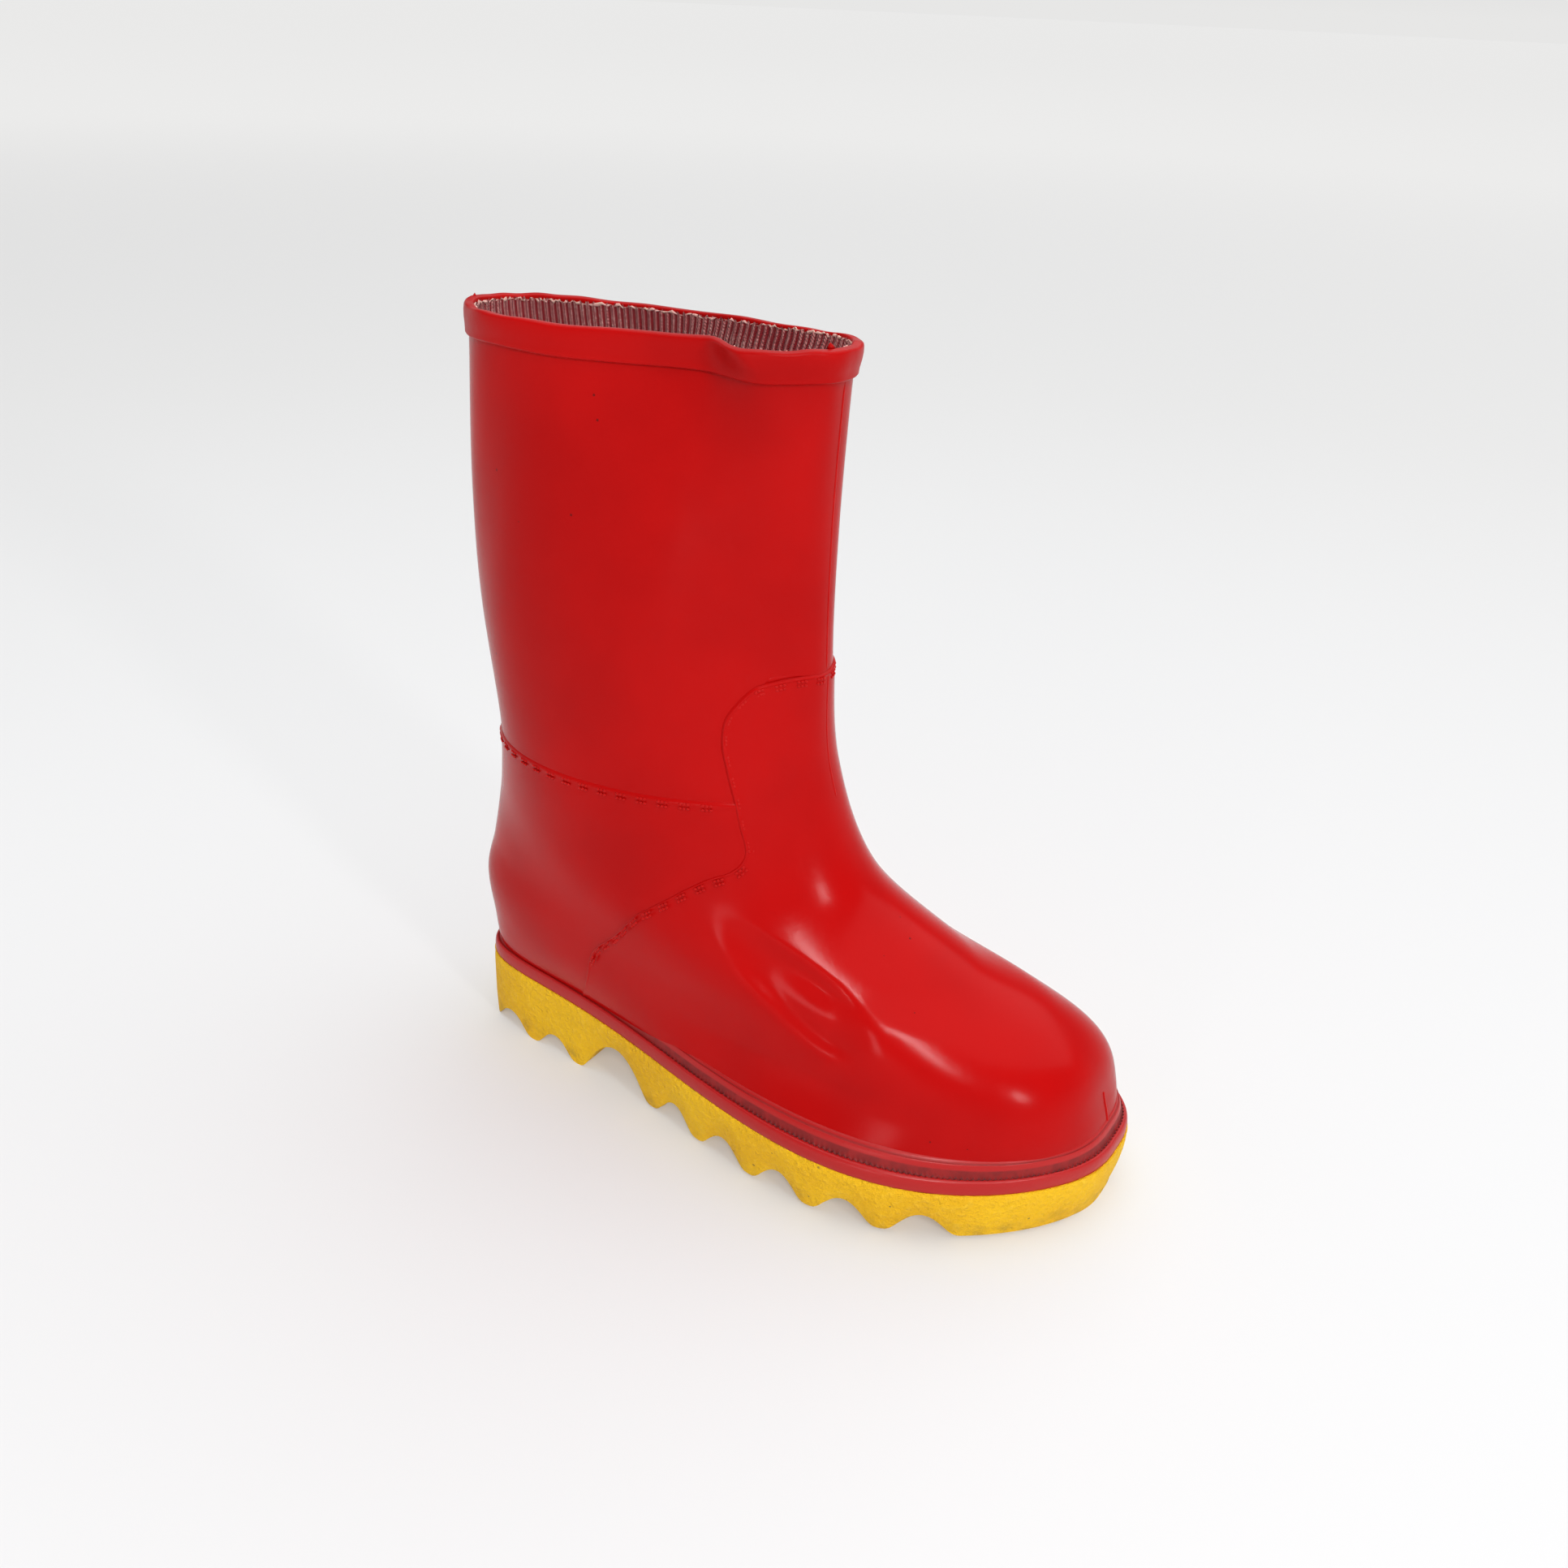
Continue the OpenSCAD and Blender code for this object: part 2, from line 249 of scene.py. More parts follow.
class Wire:
    """A shader socket that can be added, taken away and multiplied."""

    def __init__(self, tree: bpy.types.NodeTree, socket: bpy.types.NodeSocket) -> None:
        """Wraps one output socket of a node tree."""
        self.tree = tree
        self.socket = socket

    def _math(self, operation: str, a: "Wire | float", b: "Wire | float") -> "Wire":
        """Joins two values by a maths node."""
        node = self.tree.nodes.new("ShaderNodeMath")
        node.operation = operation
        for slot, value in zip(node.inputs, (a, b)):
            if isinstance(value, Wire):
                self.tree.links.new(value.socket, slot)
            else:
                slot.default_value = value
        return Wire(self.tree, node.outputs[0])

    def __add__(self, other: "Wire | float") -> "Wire":
        """This value plus another."""
        return self._math("ADD", self, other)

    def __radd__(self, other: float) -> "Wire":
        """A number plus this value."""
        return self._math("ADD", other, self)

    def __sub__(self, other: "Wire | float") -> "Wire":
        """This value less another."""
        return self._math("SUBTRACT", self, other)

    def __rsub__(self, other: float) -> "Wire":
        """A number less this value."""
        return self._math("SUBTRACT", other, self)

    def __mul__(self, other: "Wire | float") -> "Wire":
        """This value times another."""
        return self._math("MULTIPLY", self, other)

    def __rmul__(self, other: float) -> "Wire":
        """A number times this value."""
        return self._math("MULTIPLY", other, self)

    def power(self, other: float) -> "Wire":
        """This value to a power."""
        return self._math("POWER", self, other)

    def fraction(self) -> "Wire":
        """The part of this value after the point."""
        return self._math("FRACT", self, 0.0)

    def above(self, other: float) -> "Wire":
        """1 where this value is above a number, or 0."""
        return self._math("GREATER_THAN", self, other)

    def below(self, other: float) -> "Wire":
        """1 where this value is below a number, or 0."""
        return self._math("LESS_THAN", self, other)

    def sine(self) -> "Wire":
        """The sine of this value."""
        return self._math("SINE", self, 0.0)

    def smaller(self, other: "Wire | float") -> "Wire":
        """The smaller of two values."""
        return self._math("MINIMUM", self, other)


Input = Wire | float | tuple[float, ...]


class Bench:
    """Builds one material's node tree."""

    def __init__(self, name: str) -> None:
        """Starts a material with a Principled surface."""
        self.material = bpy.data.materials.new(name)
        self.material.use_nodes = True
        self.tree = self.material.node_tree
        self.surface = self.tree.nodes["Principled BSDF"]
        self.object = self.node("ShaderNodeTexCoord", out="Object")
        self.uv = self.node("ShaderNodeTexCoord", out="UV")

    def node(self, kind: str, settings: dict[str, object] | None = None,
             inputs: dict[str | int, Input] | None = None, out: str | int = 0) -> Wire:
        """Adds a node.

        Args:
            kind: the node's type.
            settings: its properties.
            inputs: what its input sockets take.
            out: the output that is wanted.

        Returns:
            That output as a wire.
        """
        node = self.tree.nodes.new(kind)
        for key, value in (settings or {}).items():
            setattr(node, key, value)
        for key, value in (inputs or {}).items():
            if isinstance(value, Wire):
                self.tree.links.new(value.socket, node.inputs[key])
            else:
                node.inputs[key].default_value = value
        return Wire(self.tree, node.outputs[out])

    def noise(self, scale: float, detail: float = 2.0, vector: Wire | None = None,
              rough: float = 0.5) -> Wire:
        """A noise of so many waves a metre, from 0 to 1."""
        inputs = {"Vector": vector or self.object, "Scale": scale, "Detail": detail,
                  "Roughness": rough}
        return self.node("ShaderNodeTexNoise", inputs=inputs, out="Fac")

    def cells(self, scale: float, vector: Wire | None = None) -> Wire:
        """The distance to the nearest of scattered points."""
        return self.node("ShaderNodeTexVoronoi", inputs={"Vector": vector or self.object,
                                                         "Scale": scale}, out="Distance")

    def ramp(self, value: Wire, low: float, high: float) -> Wire:
        """Eases a value from 0 at low to 1 at high."""
        return self.node("ShaderNodeMapRange", {"interpolation_type": "SMOOTHSTEP"},
                         {"Value": value, "From Min": low, "From Max": high}, "Result")

    def axis(self, vector: Wire, which: str) -> Wire:
        """One of a vector's three numbers."""
        return self.node("ShaderNodeSeparateXYZ", inputs={"Vector": vector}, out=which)

    def stretch(self, scale: tuple[float, float, float], vector: Wire | None = None) -> Wire:
        """A vector scaled by three numbers."""
        return self.node("ShaderNodeMapping",
                         inputs={"Vector": vector or self.object, "Scale": scale})

    def mix(self, factor: Wire | float, a: Input, b: Input) -> Wire:
        """Mixes two colours."""
        return self.node("ShaderNodeMix", {"data_type": "RGBA"},
                         {0: factor, 6: a, 7: b}, out=2)

    def bump(self, height: Wire, distance: float, strength: float = 1.0,
             under: Wire | None = None) -> Wire:
        """A bump of so many metres."""
        inputs: dict[str | int, Input] = {"Height": height, "Distance": distance,
                                          "Strength": strength}
        if under is not None:
            inputs["Normal"] = under
        return self.node("ShaderNodeBump", inputs=inputs)

    def finish(self, **inputs: Input) -> bpy.types.Material:
        """Sets the surface's inputs, whose names have _ for a space, and gives the material."""
        for key, value in inputs.items():
            slot = self.surface.inputs[key.replace("_", " ")]
            if isinstance(value, Wire):
                self.tree.links.new(value.socket, slot)
            else:
                slot.default_value = value
        return self.material


def shade(r: float, g: float, b: float) -> tuple[float, float, float, float]:
    """A solid colour for a colour socket."""
    return (r, g, b, 1.0)


class Tint(Enum):
    """The colours of the boot's materials and of the floor, as linear light."""

    RED = shade(0.44, 0.0030, 0.0028)
    RED_DEEP = shade(0.38, 0.0022, 0.0022)
    RED_WORN = shade(0.48, 0.010, 0.009)
    WELT = shade(0.42, 0.012, 0.012)
    # A dark colour: painted shade in the welt's groove and crease, and grime in the specks on the
    # gloss.
    WELT_SHADE_AND_DIRT = shade(0.055, 0.006, 0.006)
    YELLOW = shade(0.90, 0.52, 0.006)
    YELLOW_DEEP = shade(0.82, 0.44, 0.004)
    YELLOW_PALE = shade(0.92, 0.56, 0.03)
    SOLE_BROWN = shade(0.20, 0.11, 0.03)
    CORD = shade(0.52, 0.15, 0.15)
    CORD_PALE = shade(0.78, 0.44, 0.40)
    LADDER = shade(0.55, 0.035, 0.045)
    # Painted shade for the gaps between the ladder's rungs and the groove down each cord.
    KNIT_SHADE = shade(0.13, 0.008, 0.011)
    FRAY = shade(0.66, 0.42, 0.34)
    CLOTH = shade(0.34, 0.10, 0.11)
    CLOTH_PALE = shade(0.50, 0.24, 0.23)
    FOAM = shade(0.62, 0.58, 0.50)
    FOAM_DEEP = shade(0.46, 0.43, 0.37)
    BOARD = shade(0.42, 0.33, 0.22)
    BOARD_DEEP = shade(0.26, 0.20, 0.13)
    FLOOR = shade(0.55, 0.55, 0.55)
    # Painted shade: the floor a little darker far from the boot.
    FLOOR_FAR_SHADE = shade(0.52, 0.518, 0.512)
    # Painted glow that lifts the floor's shadows.
    FLOOR_GLOW = shade(0.21, 0.21, 0.208)
    HORIZON = shade(0.80, 0.797, 0.79)
    HORIZON_BASE = shade(0.03, 0.03, 0.03)


@dataclass(frozen=True)
class GlossRubber:
    """Dipped rubber with a high gloss: a smooth skin with faint clouding, dust and pits."""

    name: str = "gloss_rubber"
    base: Tint = Tint.RED
    deep: Tint = Tint.RED_DEEP
    roughness: float = 0.17
    grain: float = 0.00003

    def make(self) -> bpy.types.Material:
        """Builds the material."""
        b = Bench(self.name)
        cloud = b.ramp(b.noise(22.0, 3.0), 0.35, 0.7)
        fine = b.noise(900.0, 2.0)
        colour = b.mix(cloud, self.base.value, self.deep.value)
        scuff = b.ramp(b.noise(60.0, 4.0, b.stretch((1.0, 3.0, 0.6))), 0.66, 0.8)
        colour = b.mix(scuff * 0.25, colour, Tint.RED_WORN.value)
        pit = b.cells(130.0).below(0.045)
        speck = pit * b.noise(9.0, 1.0).above(0.56)
        colour = b.mix(speck * 0.7, colour, Tint.WELT_SHADE_AND_DIRT.value)
        orange_peel = b.bump(b.noise(420.0, 2.0), self.grain)
        normal = b.bump(speck, 0.0002, 0.5, orange_peel)
        rough = self.roughness + 0.05 * cloud + 0.04 * fine + 0.10 * scuff
        return b.finish(Base_Color=colour, Roughness=rough, Normal=normal,
                        Specular_IOR_Level=0.075)


@dataclass(frozen=True)
class WeltRubber:
    """Duller moulded rubber whose creases are darkened by painted shade and by patches of grime.
    """

    name: str = "welt_rubber"
    teeth: int = WELT_TEETH

    def make(self) -> bpy.types.Material:
        """Builds the material; the piece's second UV axis runs across the welt."""
        b = Bench(self.name)
        across = b.axis(b.uv, "Y")
        along = b.axis(b.object, "X")
        saw = (2.0 * (b.axis(b.uv, "X") * self.teeth).fraction() - 1.0).power(2.0)
        front = b.ramp(along, -0.045, -0.015)
        low = across + 0.05 * front * saw
        # Painted shade darkens the groove, the fine crease and, at the front, the teeth; the noise
        # patches add grime in the groove at the front.
        groove = b.ramp(across, 0.345, 0.375) * (1.0 - b.ramp(low, 0.590, 0.605))
        crease = b.ramp(across, 0.13, 0.17) * (1.0 - b.ramp(across, 0.24, 0.28))
        patch = b.ramp(b.noise(260.0, 3.0), 0.3, 0.62)
        tip = b.ramp(low, 0.50, 0.56) * front
        shade_and_dirt = groove * (0.40 + 0.25 * front * patch + 0.35 * tip) + crease * 0.35
        cloud = b.noise(40.0, 3.0)
        colour = b.mix(cloud, Tint.WELT.value, Tint.RED_DEEP.value)
        colour = b.mix(shade_and_dirt.smaller(1.0) * 0.92, colour, Tint.WELT_SHADE_AND_DIRT.value)
        normal = b.bump(b.noise(700.0, 3.0), 0.00006)
        return b.finish(Base_Color=colour, Roughness=0.34 + 0.3 * shade_and_dirt, Normal=normal,
                        Specular_IOR_Level=0.32)


@dataclass(frozen=True)
class SoleRubber:
    """Matt yellow rubber with a fine stucco grain, small dark pits and a patchy brown darkening
    towards its foot.
    """

    name: str = "sole_rubber"

    def make(self) -> bpy.types.Material:
        """Builds the material."""
        b = Bench(self.name)
        cloud = b.ramp(b.noise(45.0, 3.0), 0.3, 0.7)
        grain = b.noise(1300.0, 3.0, rough=0.65)
        lump = b.noise(520.0, 2.0)
        colour = b.mix(cloud, Tint.YELLOW.value, Tint.YELLOW_DEEP.value)
        colour = b.mix(b.ramp(lump, 0.5, 0.75) * 0.45, colour, Tint.YELLOW_PALE.value)
        colour = b.mix(b.ramp(grain, 0.55, 0.8) * 0.35, colour, Tint.YELLOW_DEEP.value)
        # Browner and darker in patches towards the bottom, and in the small pits.
        pit = b.cells(170.0).below(0.07) * b.noise(30.0, 1.0).above(0.54)
        height = b.axis(b.object, "Z")
        low = 1.0 - b.ramp(height, 0.0, 0.010)
        browning = low * b.ramp(b.noise(210.0, 4.0), 0.42, 0.75) * 0.45 + pit * 0.6
        colour = b.mix(browning.smaller(1.0), colour, Tint.SOLE_BROWN.value)
        normal = b.bump(grain * 0.7 + lump * 1.0, 0.0012)
        normal = b.bump(1.0 - pit, 0.0003, 0.8, normal)
        return b.finish(Base_Color=colour, Roughness=0.62 + 0.15 * grain, Normal=normal,
                        Specular_IOR_Level=0.25)


@dataclass(frozen=True)
class RibKnit:
    """Ribbed knit: pale pink cords with red ladder stitches in the valleys between them, darkened
    by painted shade between the rungs and down the middle of each cord.
    """

    name: str = "rib_knit"
    ribs: int = KNIT_RIBS
    courses: float = 235.0

    def make(self) -> bpy.types.Material:
        """Builds the material; the first UV axis runs round the boot, the second up it."""
        b = Bench(self.name)
        round_it, up = b.axis(b.uv, "X"), b.axis(b.uv, "Y")
        rib = (round_it * self.ribs).fraction()
        course = (up * self.courses).fraction()
        ladder = b.ramp(rib, 0.27, 0.33) * (1.0 - b.ramp(rib, 0.67, 0.73))
        # Painted shade: a dark line down the groove in the middle of each cord.
        split = 1.0 - b.ramp(rib, 0.02, 0.06) * (1.0 - b.ramp(rib, 0.94, 0.98))
        rung = b.ramp(course, 0.15, 0.35) * (1.0 - b.ramp(course, 0.65, 0.85))
        strand = ((round_it * self.ribs * 4.0 + up * self.courses * 0.5) * (2 * math.pi)).sine()
        fuzz = b.noise(1100.0, 4.0, rough=0.7)
        blotch = b.ramp(b.noise(70.0, 3.0), 0.3, 0.75)
        cord = b.mix(b.ramp(fuzz, 0.4, 0.75), Tint.CORD.value, Tint.CORD_PALE.value)
        cord = b.mix(blotch * 0.6, cord, Tint.CORD.value)
        cord = b.mix(split * 0.8, cord, Tint.KNIT_SHADE.value)
        # Painted shade in the gaps between the ladder's rungs.
        deep = b.mix(rung, Tint.KNIT_SHADE.value, Tint.LADDER.value)
        colour = b.mix(ladder, cord, deep)
        height = (1.0 - ladder) * (0.7 + 0.15 * strand) - split * 0.4 + ladder * rung * 0.35
        height = height + fuzz * 0.25
        return b.finish(Base_Color=colour, Roughness=0.9, Normal=b.bump(height, 0.0005),
                        Specular_IOR_Level=0.12, Sheen_Weight=0.15, Sheen_Roughness=0.5)


@dataclass(frozen=True)
class Fray:
    """The torn fleecy edge of the knit."""

    name: str = "fray"

    def make(self) -> bpy.types.Material:
        """Builds the material."""
        b = Bench(self.name)
        colour = b.mix(b.ramp(b.noise(500.0, 3.0), 0.35, 0.65), Tint.FRAY.value,
                       Tint.CORD_PALE.value)
        return b.finish(Base_Color=colour, Roughness=0.95, Specular_IOR_Level=0.1,
                        Normal=b.bump(b.noise(2400.0, 3.0), 0.0002))


@dataclass(frozen=True)
class WovenCloth:
    """The footbed's plain woven cover."""

    name: str = "woven_cloth"
    threads: float = 900.0

    def make(self) -> bpy.types.Material:
        """Builds the material."""
        b = Bench(self.name)
        x, y = b.axis(b.object, "X"), b.axis(b.object, "Y")
        turn = 2 * math.pi * self.threads
        weave = (x * turn).sine() * (y * turn).sine()
        fuzz = b.noise(1400.0, 3.0)
        colour = b.mix(b.ramp(weave * 0.5 + fuzz, 0.2, 0.9), Tint.CLOTH.value,
                       Tint.CLOTH_PALE.value)
        return b.finish(Base_Color=colour, Roughness=0.92, Specular_IOR_Level=0.12,
                        Normal=b.bump(weave * 0.5 + fuzz * 0.6, 0.0003), Sheen_Weight=0.15)


@dataclass(frozen=True)
class Cellular:
    """Foam or pressed board: two tones, open cells."""

    name: str
    base: Tint
    deep: Tint
    cell: float

    def make(self) -> bpy.types.Material:
        """Builds the material."""
        b = Bench(self.name)
        cells = b.cells(self.cell)
        mottle = b.ramp(b.noise(self.cell / 8.0, 4.0), 0.3, 0.7)
        colour = b.mix(mottle * 0.6 + cells * 0.4, self.base.value, self.deep.value)
        return b.finish(Base_Color=colour, Roughness=0.86 + 0.08 * mottle,
                        Specular_IOR_Level=0.15, Normal=b.bump(cells, 0.0003))


@dataclass(frozen=True)
class PaleFloor:
    """The pale floor, with painted shade that makes it a little darker far away, a painted glow
    that lifts its shadows, and a glow like the surroundings at its rim.
    """

    name: str = "pale_floor"

    def make(self) -> bpy.types.Material:
        """Builds the material."""
        b = Bench(self.name)
        away = b.node("ShaderNodeVectorMath", {"operation": "LENGTH"}, {0: b.object}, "Value")
        # Painted shade: the floor darkens a little away from the boot.
        far = b.ramp(away, 0.25, 1.1)
        horizon = b.ramp(away, 1.1, 3.6)
        cloud = b.noise(3.0, 2.0)
        colour = b.mix((far + 0.05 * cloud).smaller(1.0), Tint.FLOOR.value,
                       Tint.FLOOR_FAR_SHADE.value)
        # Painted glow: the near floor glows faintly to lift its shadows; at the rim it glows like
        # the surroundings.
        glow = b.mix(horizon, Tint.FLOOR_GLOW.value, Tint.HORIZON.value)
        colour = b.mix(horizon, colour, Tint.HORIZON_BASE.value)
        return b.finish(Base_Color=colour, Roughness=0.9, Specular_IOR_Level=0.05,
                        Normal=b.bump(cloud, 0.0002), Emission_Color=glow,
                        Emission_Strength=1.0)


class Finishes:
    """Every finish, made once."""

    def __init__(self) -> None:
        """Makes the materials."""
        self.gloss = GlossRubber().make()
        self.collar = GlossRubber("collar_rubber", Tint.RED, Tint.RED_DEEP, 0.30, 0.00005).make()
        self.ridge = GlossRubber("ridge_rubber", Tint.RED_WORN, Tint.RED, 0.28, 0.00002).make()
        self.stitch = GlossRubber("stitch_rubber", Tint.RED_WORN, Tint.RED, 0.30, 0.0).make()
        self.welt = WeltRubber().make()
        self.sole = SoleRubber().make()
        self.knit = RibKnit().make()
        self.fray = Fray().make()
        self.cloth = WovenCloth().make()
        self.foam = Cellular("foam", Tint.FOAM, Tint.FOAM_DEEP, 1800.0).make()
        self.board = Cellular("fibre_board", Tint.BOARD, Tint.BOARD_DEEP, 900.0).make()
        self.floor = PaleFloor().make()


# ---------------------------------------------------------------- mesh building


def pick(piece: bpy.types.Object) -> None:
    """Selects one piece alone and makes it active."""
    bpy.ops.object.select_all(action="DESELECT")
    piece.select_set(True)
    bpy.context.view_layer.objects.active = piece


def weave(name: str, columns: int, rows: int, place: Place, closed: bool = True,
          inward: bool = False) -> bpy.types.Object:
    """Lays a grid over the boot.

    Args:
        name: the piece's name.
        columns: faces along u.
        rows: faces along w.
        place: gives points in millimetres for u and w, which run from 0 to 1.
        closed: whether the grid closes on itself into a solid, so its facing is found.
        inward: whether an open grid's faces are turned round.

    Returns:
        The piece, smooth shaded, its doubled points welded.
    """
    bpy.ops.object.select_all(action="DESELECT")
    bpy.ops.mesh.primitive_grid_add(x_subdivisions=columns, y_subdivisions=rows, size=2.0)
    piece = bpy.context.object
    piece.name = name
    piece.data.name = name
    mesh = piece.data
    flat = np.empty(len(mesh.vertices) * 3)
    mesh.vertices.foreach_get("co", flat)
    flat = flat.reshape(-1, 3)
    points = place((flat[:, 0] + 1.0) / 2.0, (flat[:, 1] + 1.0) / 2.0) * MM
    mesh.vertices.foreach_set("co", np.ascontiguousarray(points).ravel())
    mesh.update()
    bpy.ops.object.mode_set(mode="EDIT")
    bpy.ops.mesh.select_all(action="SELECT")
    bpy.ops.mesh.remove_doubles(threshold=2e-6)
    bpy.ops.mesh.dissolve_degenerate(threshold=1e-7)
    bpy.ops.mesh.select_all(action="SELECT")
    if closed:
        bpy.ops.mesh.normals_make_consistent(inside=False)
    elif inward:
        bpy.ops.mesh.flip_normals()
    bpy.ops.object.mode_set(mode="OBJECT")
    bpy.ops.object.shade_smooth()
    return piece


def thicken(piece: bpy.types.Object, thickness: float) -> None:
    """Gives an open skin a thickness in millimetres behind its face."""
    pick(piece)
    bpy.ops.object.modifier_add(type="SOLIDIFY")
    solid = piece.modifiers[-1]
    solid.thickness = thickness * MM
    solid.offset = -1.0
    bpy.ops.object.modifier_apply(modifier=solid.name)


def crisp(piece: bpy.types.Object, degrees: float = 40.0) -> None:
    """Smooth shades a piece but keeps its sharp edges."""
    pick(piece)
    bpy.ops.object.shade_smooth_by_angle(angle=math.radians(degrees))


def hand_over(piece: bpy.types.Object, material: bpy.types.Material,
              nodes: Sequence[str] = (), body: Body = Body.BOOT) -> None:
    """Gives a piece its material, its body and the CAD nodes it stands for."""
    piece.data.materials.clear()
    piece.data.materials.append(material)
    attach(piece, body.value)
    if nodes:
        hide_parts(*nodes)
    LOG.info("%s: %d faces", piece.name, len(piece.data.polygons))


def flow(points: Sequence[tuple[float, float]], count: int) -> np.ndarray:
    """A smooth path through points of angle and level, cut into equal lengths.

    Args:
        points: the angle and the level of each point.
        count: how many points to give.

    Returns:
        One row of angle and level for each point.
    """
    p = np.array(points, float)
    p = np.vstack([2 * p[0] - p[1], p, 2 * p[-1] - p[-2]])
    parts = []
    for a, b, c, d in zip(p, p[1:], p[2:], p[3:]):
        u = np.linspace(0.0, 1.0, 24, endpoint=False)[:, None]
        parts.append(through(a, b, c, d, u))
    dense = np.vstack(parts + [p[-2:-1]])
    where = LAST.skin(dense[:, 0], dense[:, 1], 0.0)
    run = run_along(where)
    at = np.linspace(0.0, run[-1], count)
    return np.stack([np.interp(at, run, dense[:, 0]), np.interp(at, run, dense[:, 1])], -1)


def to_edge(w: np.ndarray, length: np.ndarray, reach: float = 3.5) -> np.ndarray:
    """How far along a line a row lies, with the rows closer together near the line's end."""
    reach = np.minimum(reach, length / 2.0)
    near = reach * (np.clip(1.0 - w, 0.0, 0.2) / 0.2) ** 2
    return np.where(w > 0.8, 1.0 - near / length, (1.0 - reach / length) * w / 0.8)


def apart(points: np.ndarray, path: np.ndarray) -> np.ndarray:
    """The distance from each point to the nearest point of a path."""
    near = np.empty(len(points))
    for i in range(0, len(points), 4000):
        gap = points[i:i + 4000, None, :] - path[None, :, :]
        near[i:i + 4000] = np.sqrt((gap ** 2).sum(-1).min(-1))
    return near


# ---------------------------------------------------------------- the outsole


@dataclass
class Outsole:
    """The yellow moulded outsole: a wall round the boot and lugs right across its width."""

    tips: tuple[float, ...] = (-97.0, -77.0, -58.0, -27.0, -7.5, 13.0, 33.5, 54.5, 75.0)
    tip_half: float = 2.7
    blur: tuple[tuple[float, float], ...] = ((-2.0, 0.3), (-1.0, 0.8), (0.0, 1.0), (1.0, 0.8),
                                             (2.0, 0.3))
    heel_groove: float = 6.2
    arch: float = 13.4
    groove: float = 7.6
    draft: float = 2.2
    raise_edge: float = 1.1
    round_edge: float = 0.7

    def tread(self, x: np.ndarray) -> np.ndarray:
        """The height of the underside at a place along the boot."""
        z = np.zeros_like(x)
        for i, (a, b) in enumerate(zip(self.tips, self.tips[1:])):
            depth = self.arch if i == 2 else self.heel_groove if i < 2 else self.groove
            t = (x - a - self.tip_half) / (b - a - 2 * self.tip_half)
            inside = (t > 0) & (t < 1)
            rise = np.sin(np.pi * np.clip(t, 0, 1)) ** 0.8
            z = np.where(inside, depth * rise, z)
        return z

    def rounded_tread(self, x: np.ndarray) -> np.ndarray:
        """The tread with its corners rounded."""
        total = sum(weight * self.tread(x + shift) for shift, weight in self.blur)
        return total / sum(weight for _, weight in self.blur)

    def columns(self) -> np.ndarray:
        """The angles of the columns, evenly spaced along the boot and close at its ends."""
        s = np.linspace(0.0, 1.0, 430)
        s = (s + 0.15 * (1.0 - np.cos(np.pi * s)) / 2.0) / 1.15
        dense = np.linspace(0.0, 180.0, 6000)
        run = run_along(LAST.outline(dense))
        half = np.interp(np.linspace(0.0, run[-1], len(s)), run, dense)
        return np.concatenate([-half[::-1], half[1:]])

    def section(self) -> np.ndarray:
        """The section's rows: part, share. Part 0 is the top, 1 the wall, 2 the underside."""
        top = [(0, t) for t in (0.0, 0.5, 0.85, 0.97, 0.99)]
        wall = [(1, t) for t in np.linspace(0.0, 1.0, 22)]
        under = [(2, t) for t in (0.006, 0.015, 0.03, 0.06, 0.12, 0.3, 0.6, 0.8, 1.0)]
        return np.array(top + wall + under)

    def build(self) -> bpy.types.Object:
        """Builds the outsole."""
        angles, rows = self.columns(), self.section()

        def place(u: np.ndarray, w: np.ndarray) -> np.ndarray:
            """Lays the section round the outline."""
            phi = np.interp(u, np.linspace(0, 1, len(angles)), angles)
            i = np.rint(w * (len(rows) - 1)).astype(int)
            part, share = rows[i, 0], rows[i, 1]
            edge = LAST.outline(phi)
            x, middle = edge[:, 0], LAST.swing(edge[:, 0])
            top, low = LAST.sole_height(x), self.rounded_tread(x)
            tip = 1.0 - np.clip(low / 5.0, 0.0, 1.0)
            low_edge = low + self.raise_edge * (0.3 + 0.7 * tip) * smooth((x + 60.0) / 40.0)
            bulge = 0.5 * np.sin(np.pi * share) * (part == 1)
            fall = np.where(part == 1, share, np.where(part == 2, 1.0, 0.0))
            draft = self.draft * (0.15 + 0.85 * smooth((x + 70.0) / 50.0))
            inset = draft * fall ** 1.6 - bulge * 0.4
            inset = inset + np.where(part == 1, self.round_edge * (1 - share) ** 14 * 0.6, 0.0)
            rim = LAST.outline(phi, np.maximum(inset, 0.0))
            y_rim, x_rim = rim[:, 1], rim[:, 0]
            y = np.where(part == 0, middle + (y_rim - middle) * share,
                         np.where(part == 1, y_rim, y_rim + (middle - y_rim) * share))
            z_wall = top - (top - low_edge) * share
            inner = smooth(share / 0.12)
            z = np.where(part == 0, top, np.where(part == 1, z_wall,
                                                  low_edge + (low - low_edge) * inner))
            x = np.where(part == 0, x + (x_rim - x) * share, x_rim)
            return np.stack([x, y, z], -1)

        piece = weave("sole_moulding", len(angles) - 1, len(rows) - 1, place)
        crisp(piece, 50.0)
        return piece

    def dress(self, finishes: Finishes) -> None:
        """Builds the outsole and gives it its finish."""
        hand_over(self.build(), finishes.sole, ["outsole"])


# ---------------------------------------------------------------- the welt


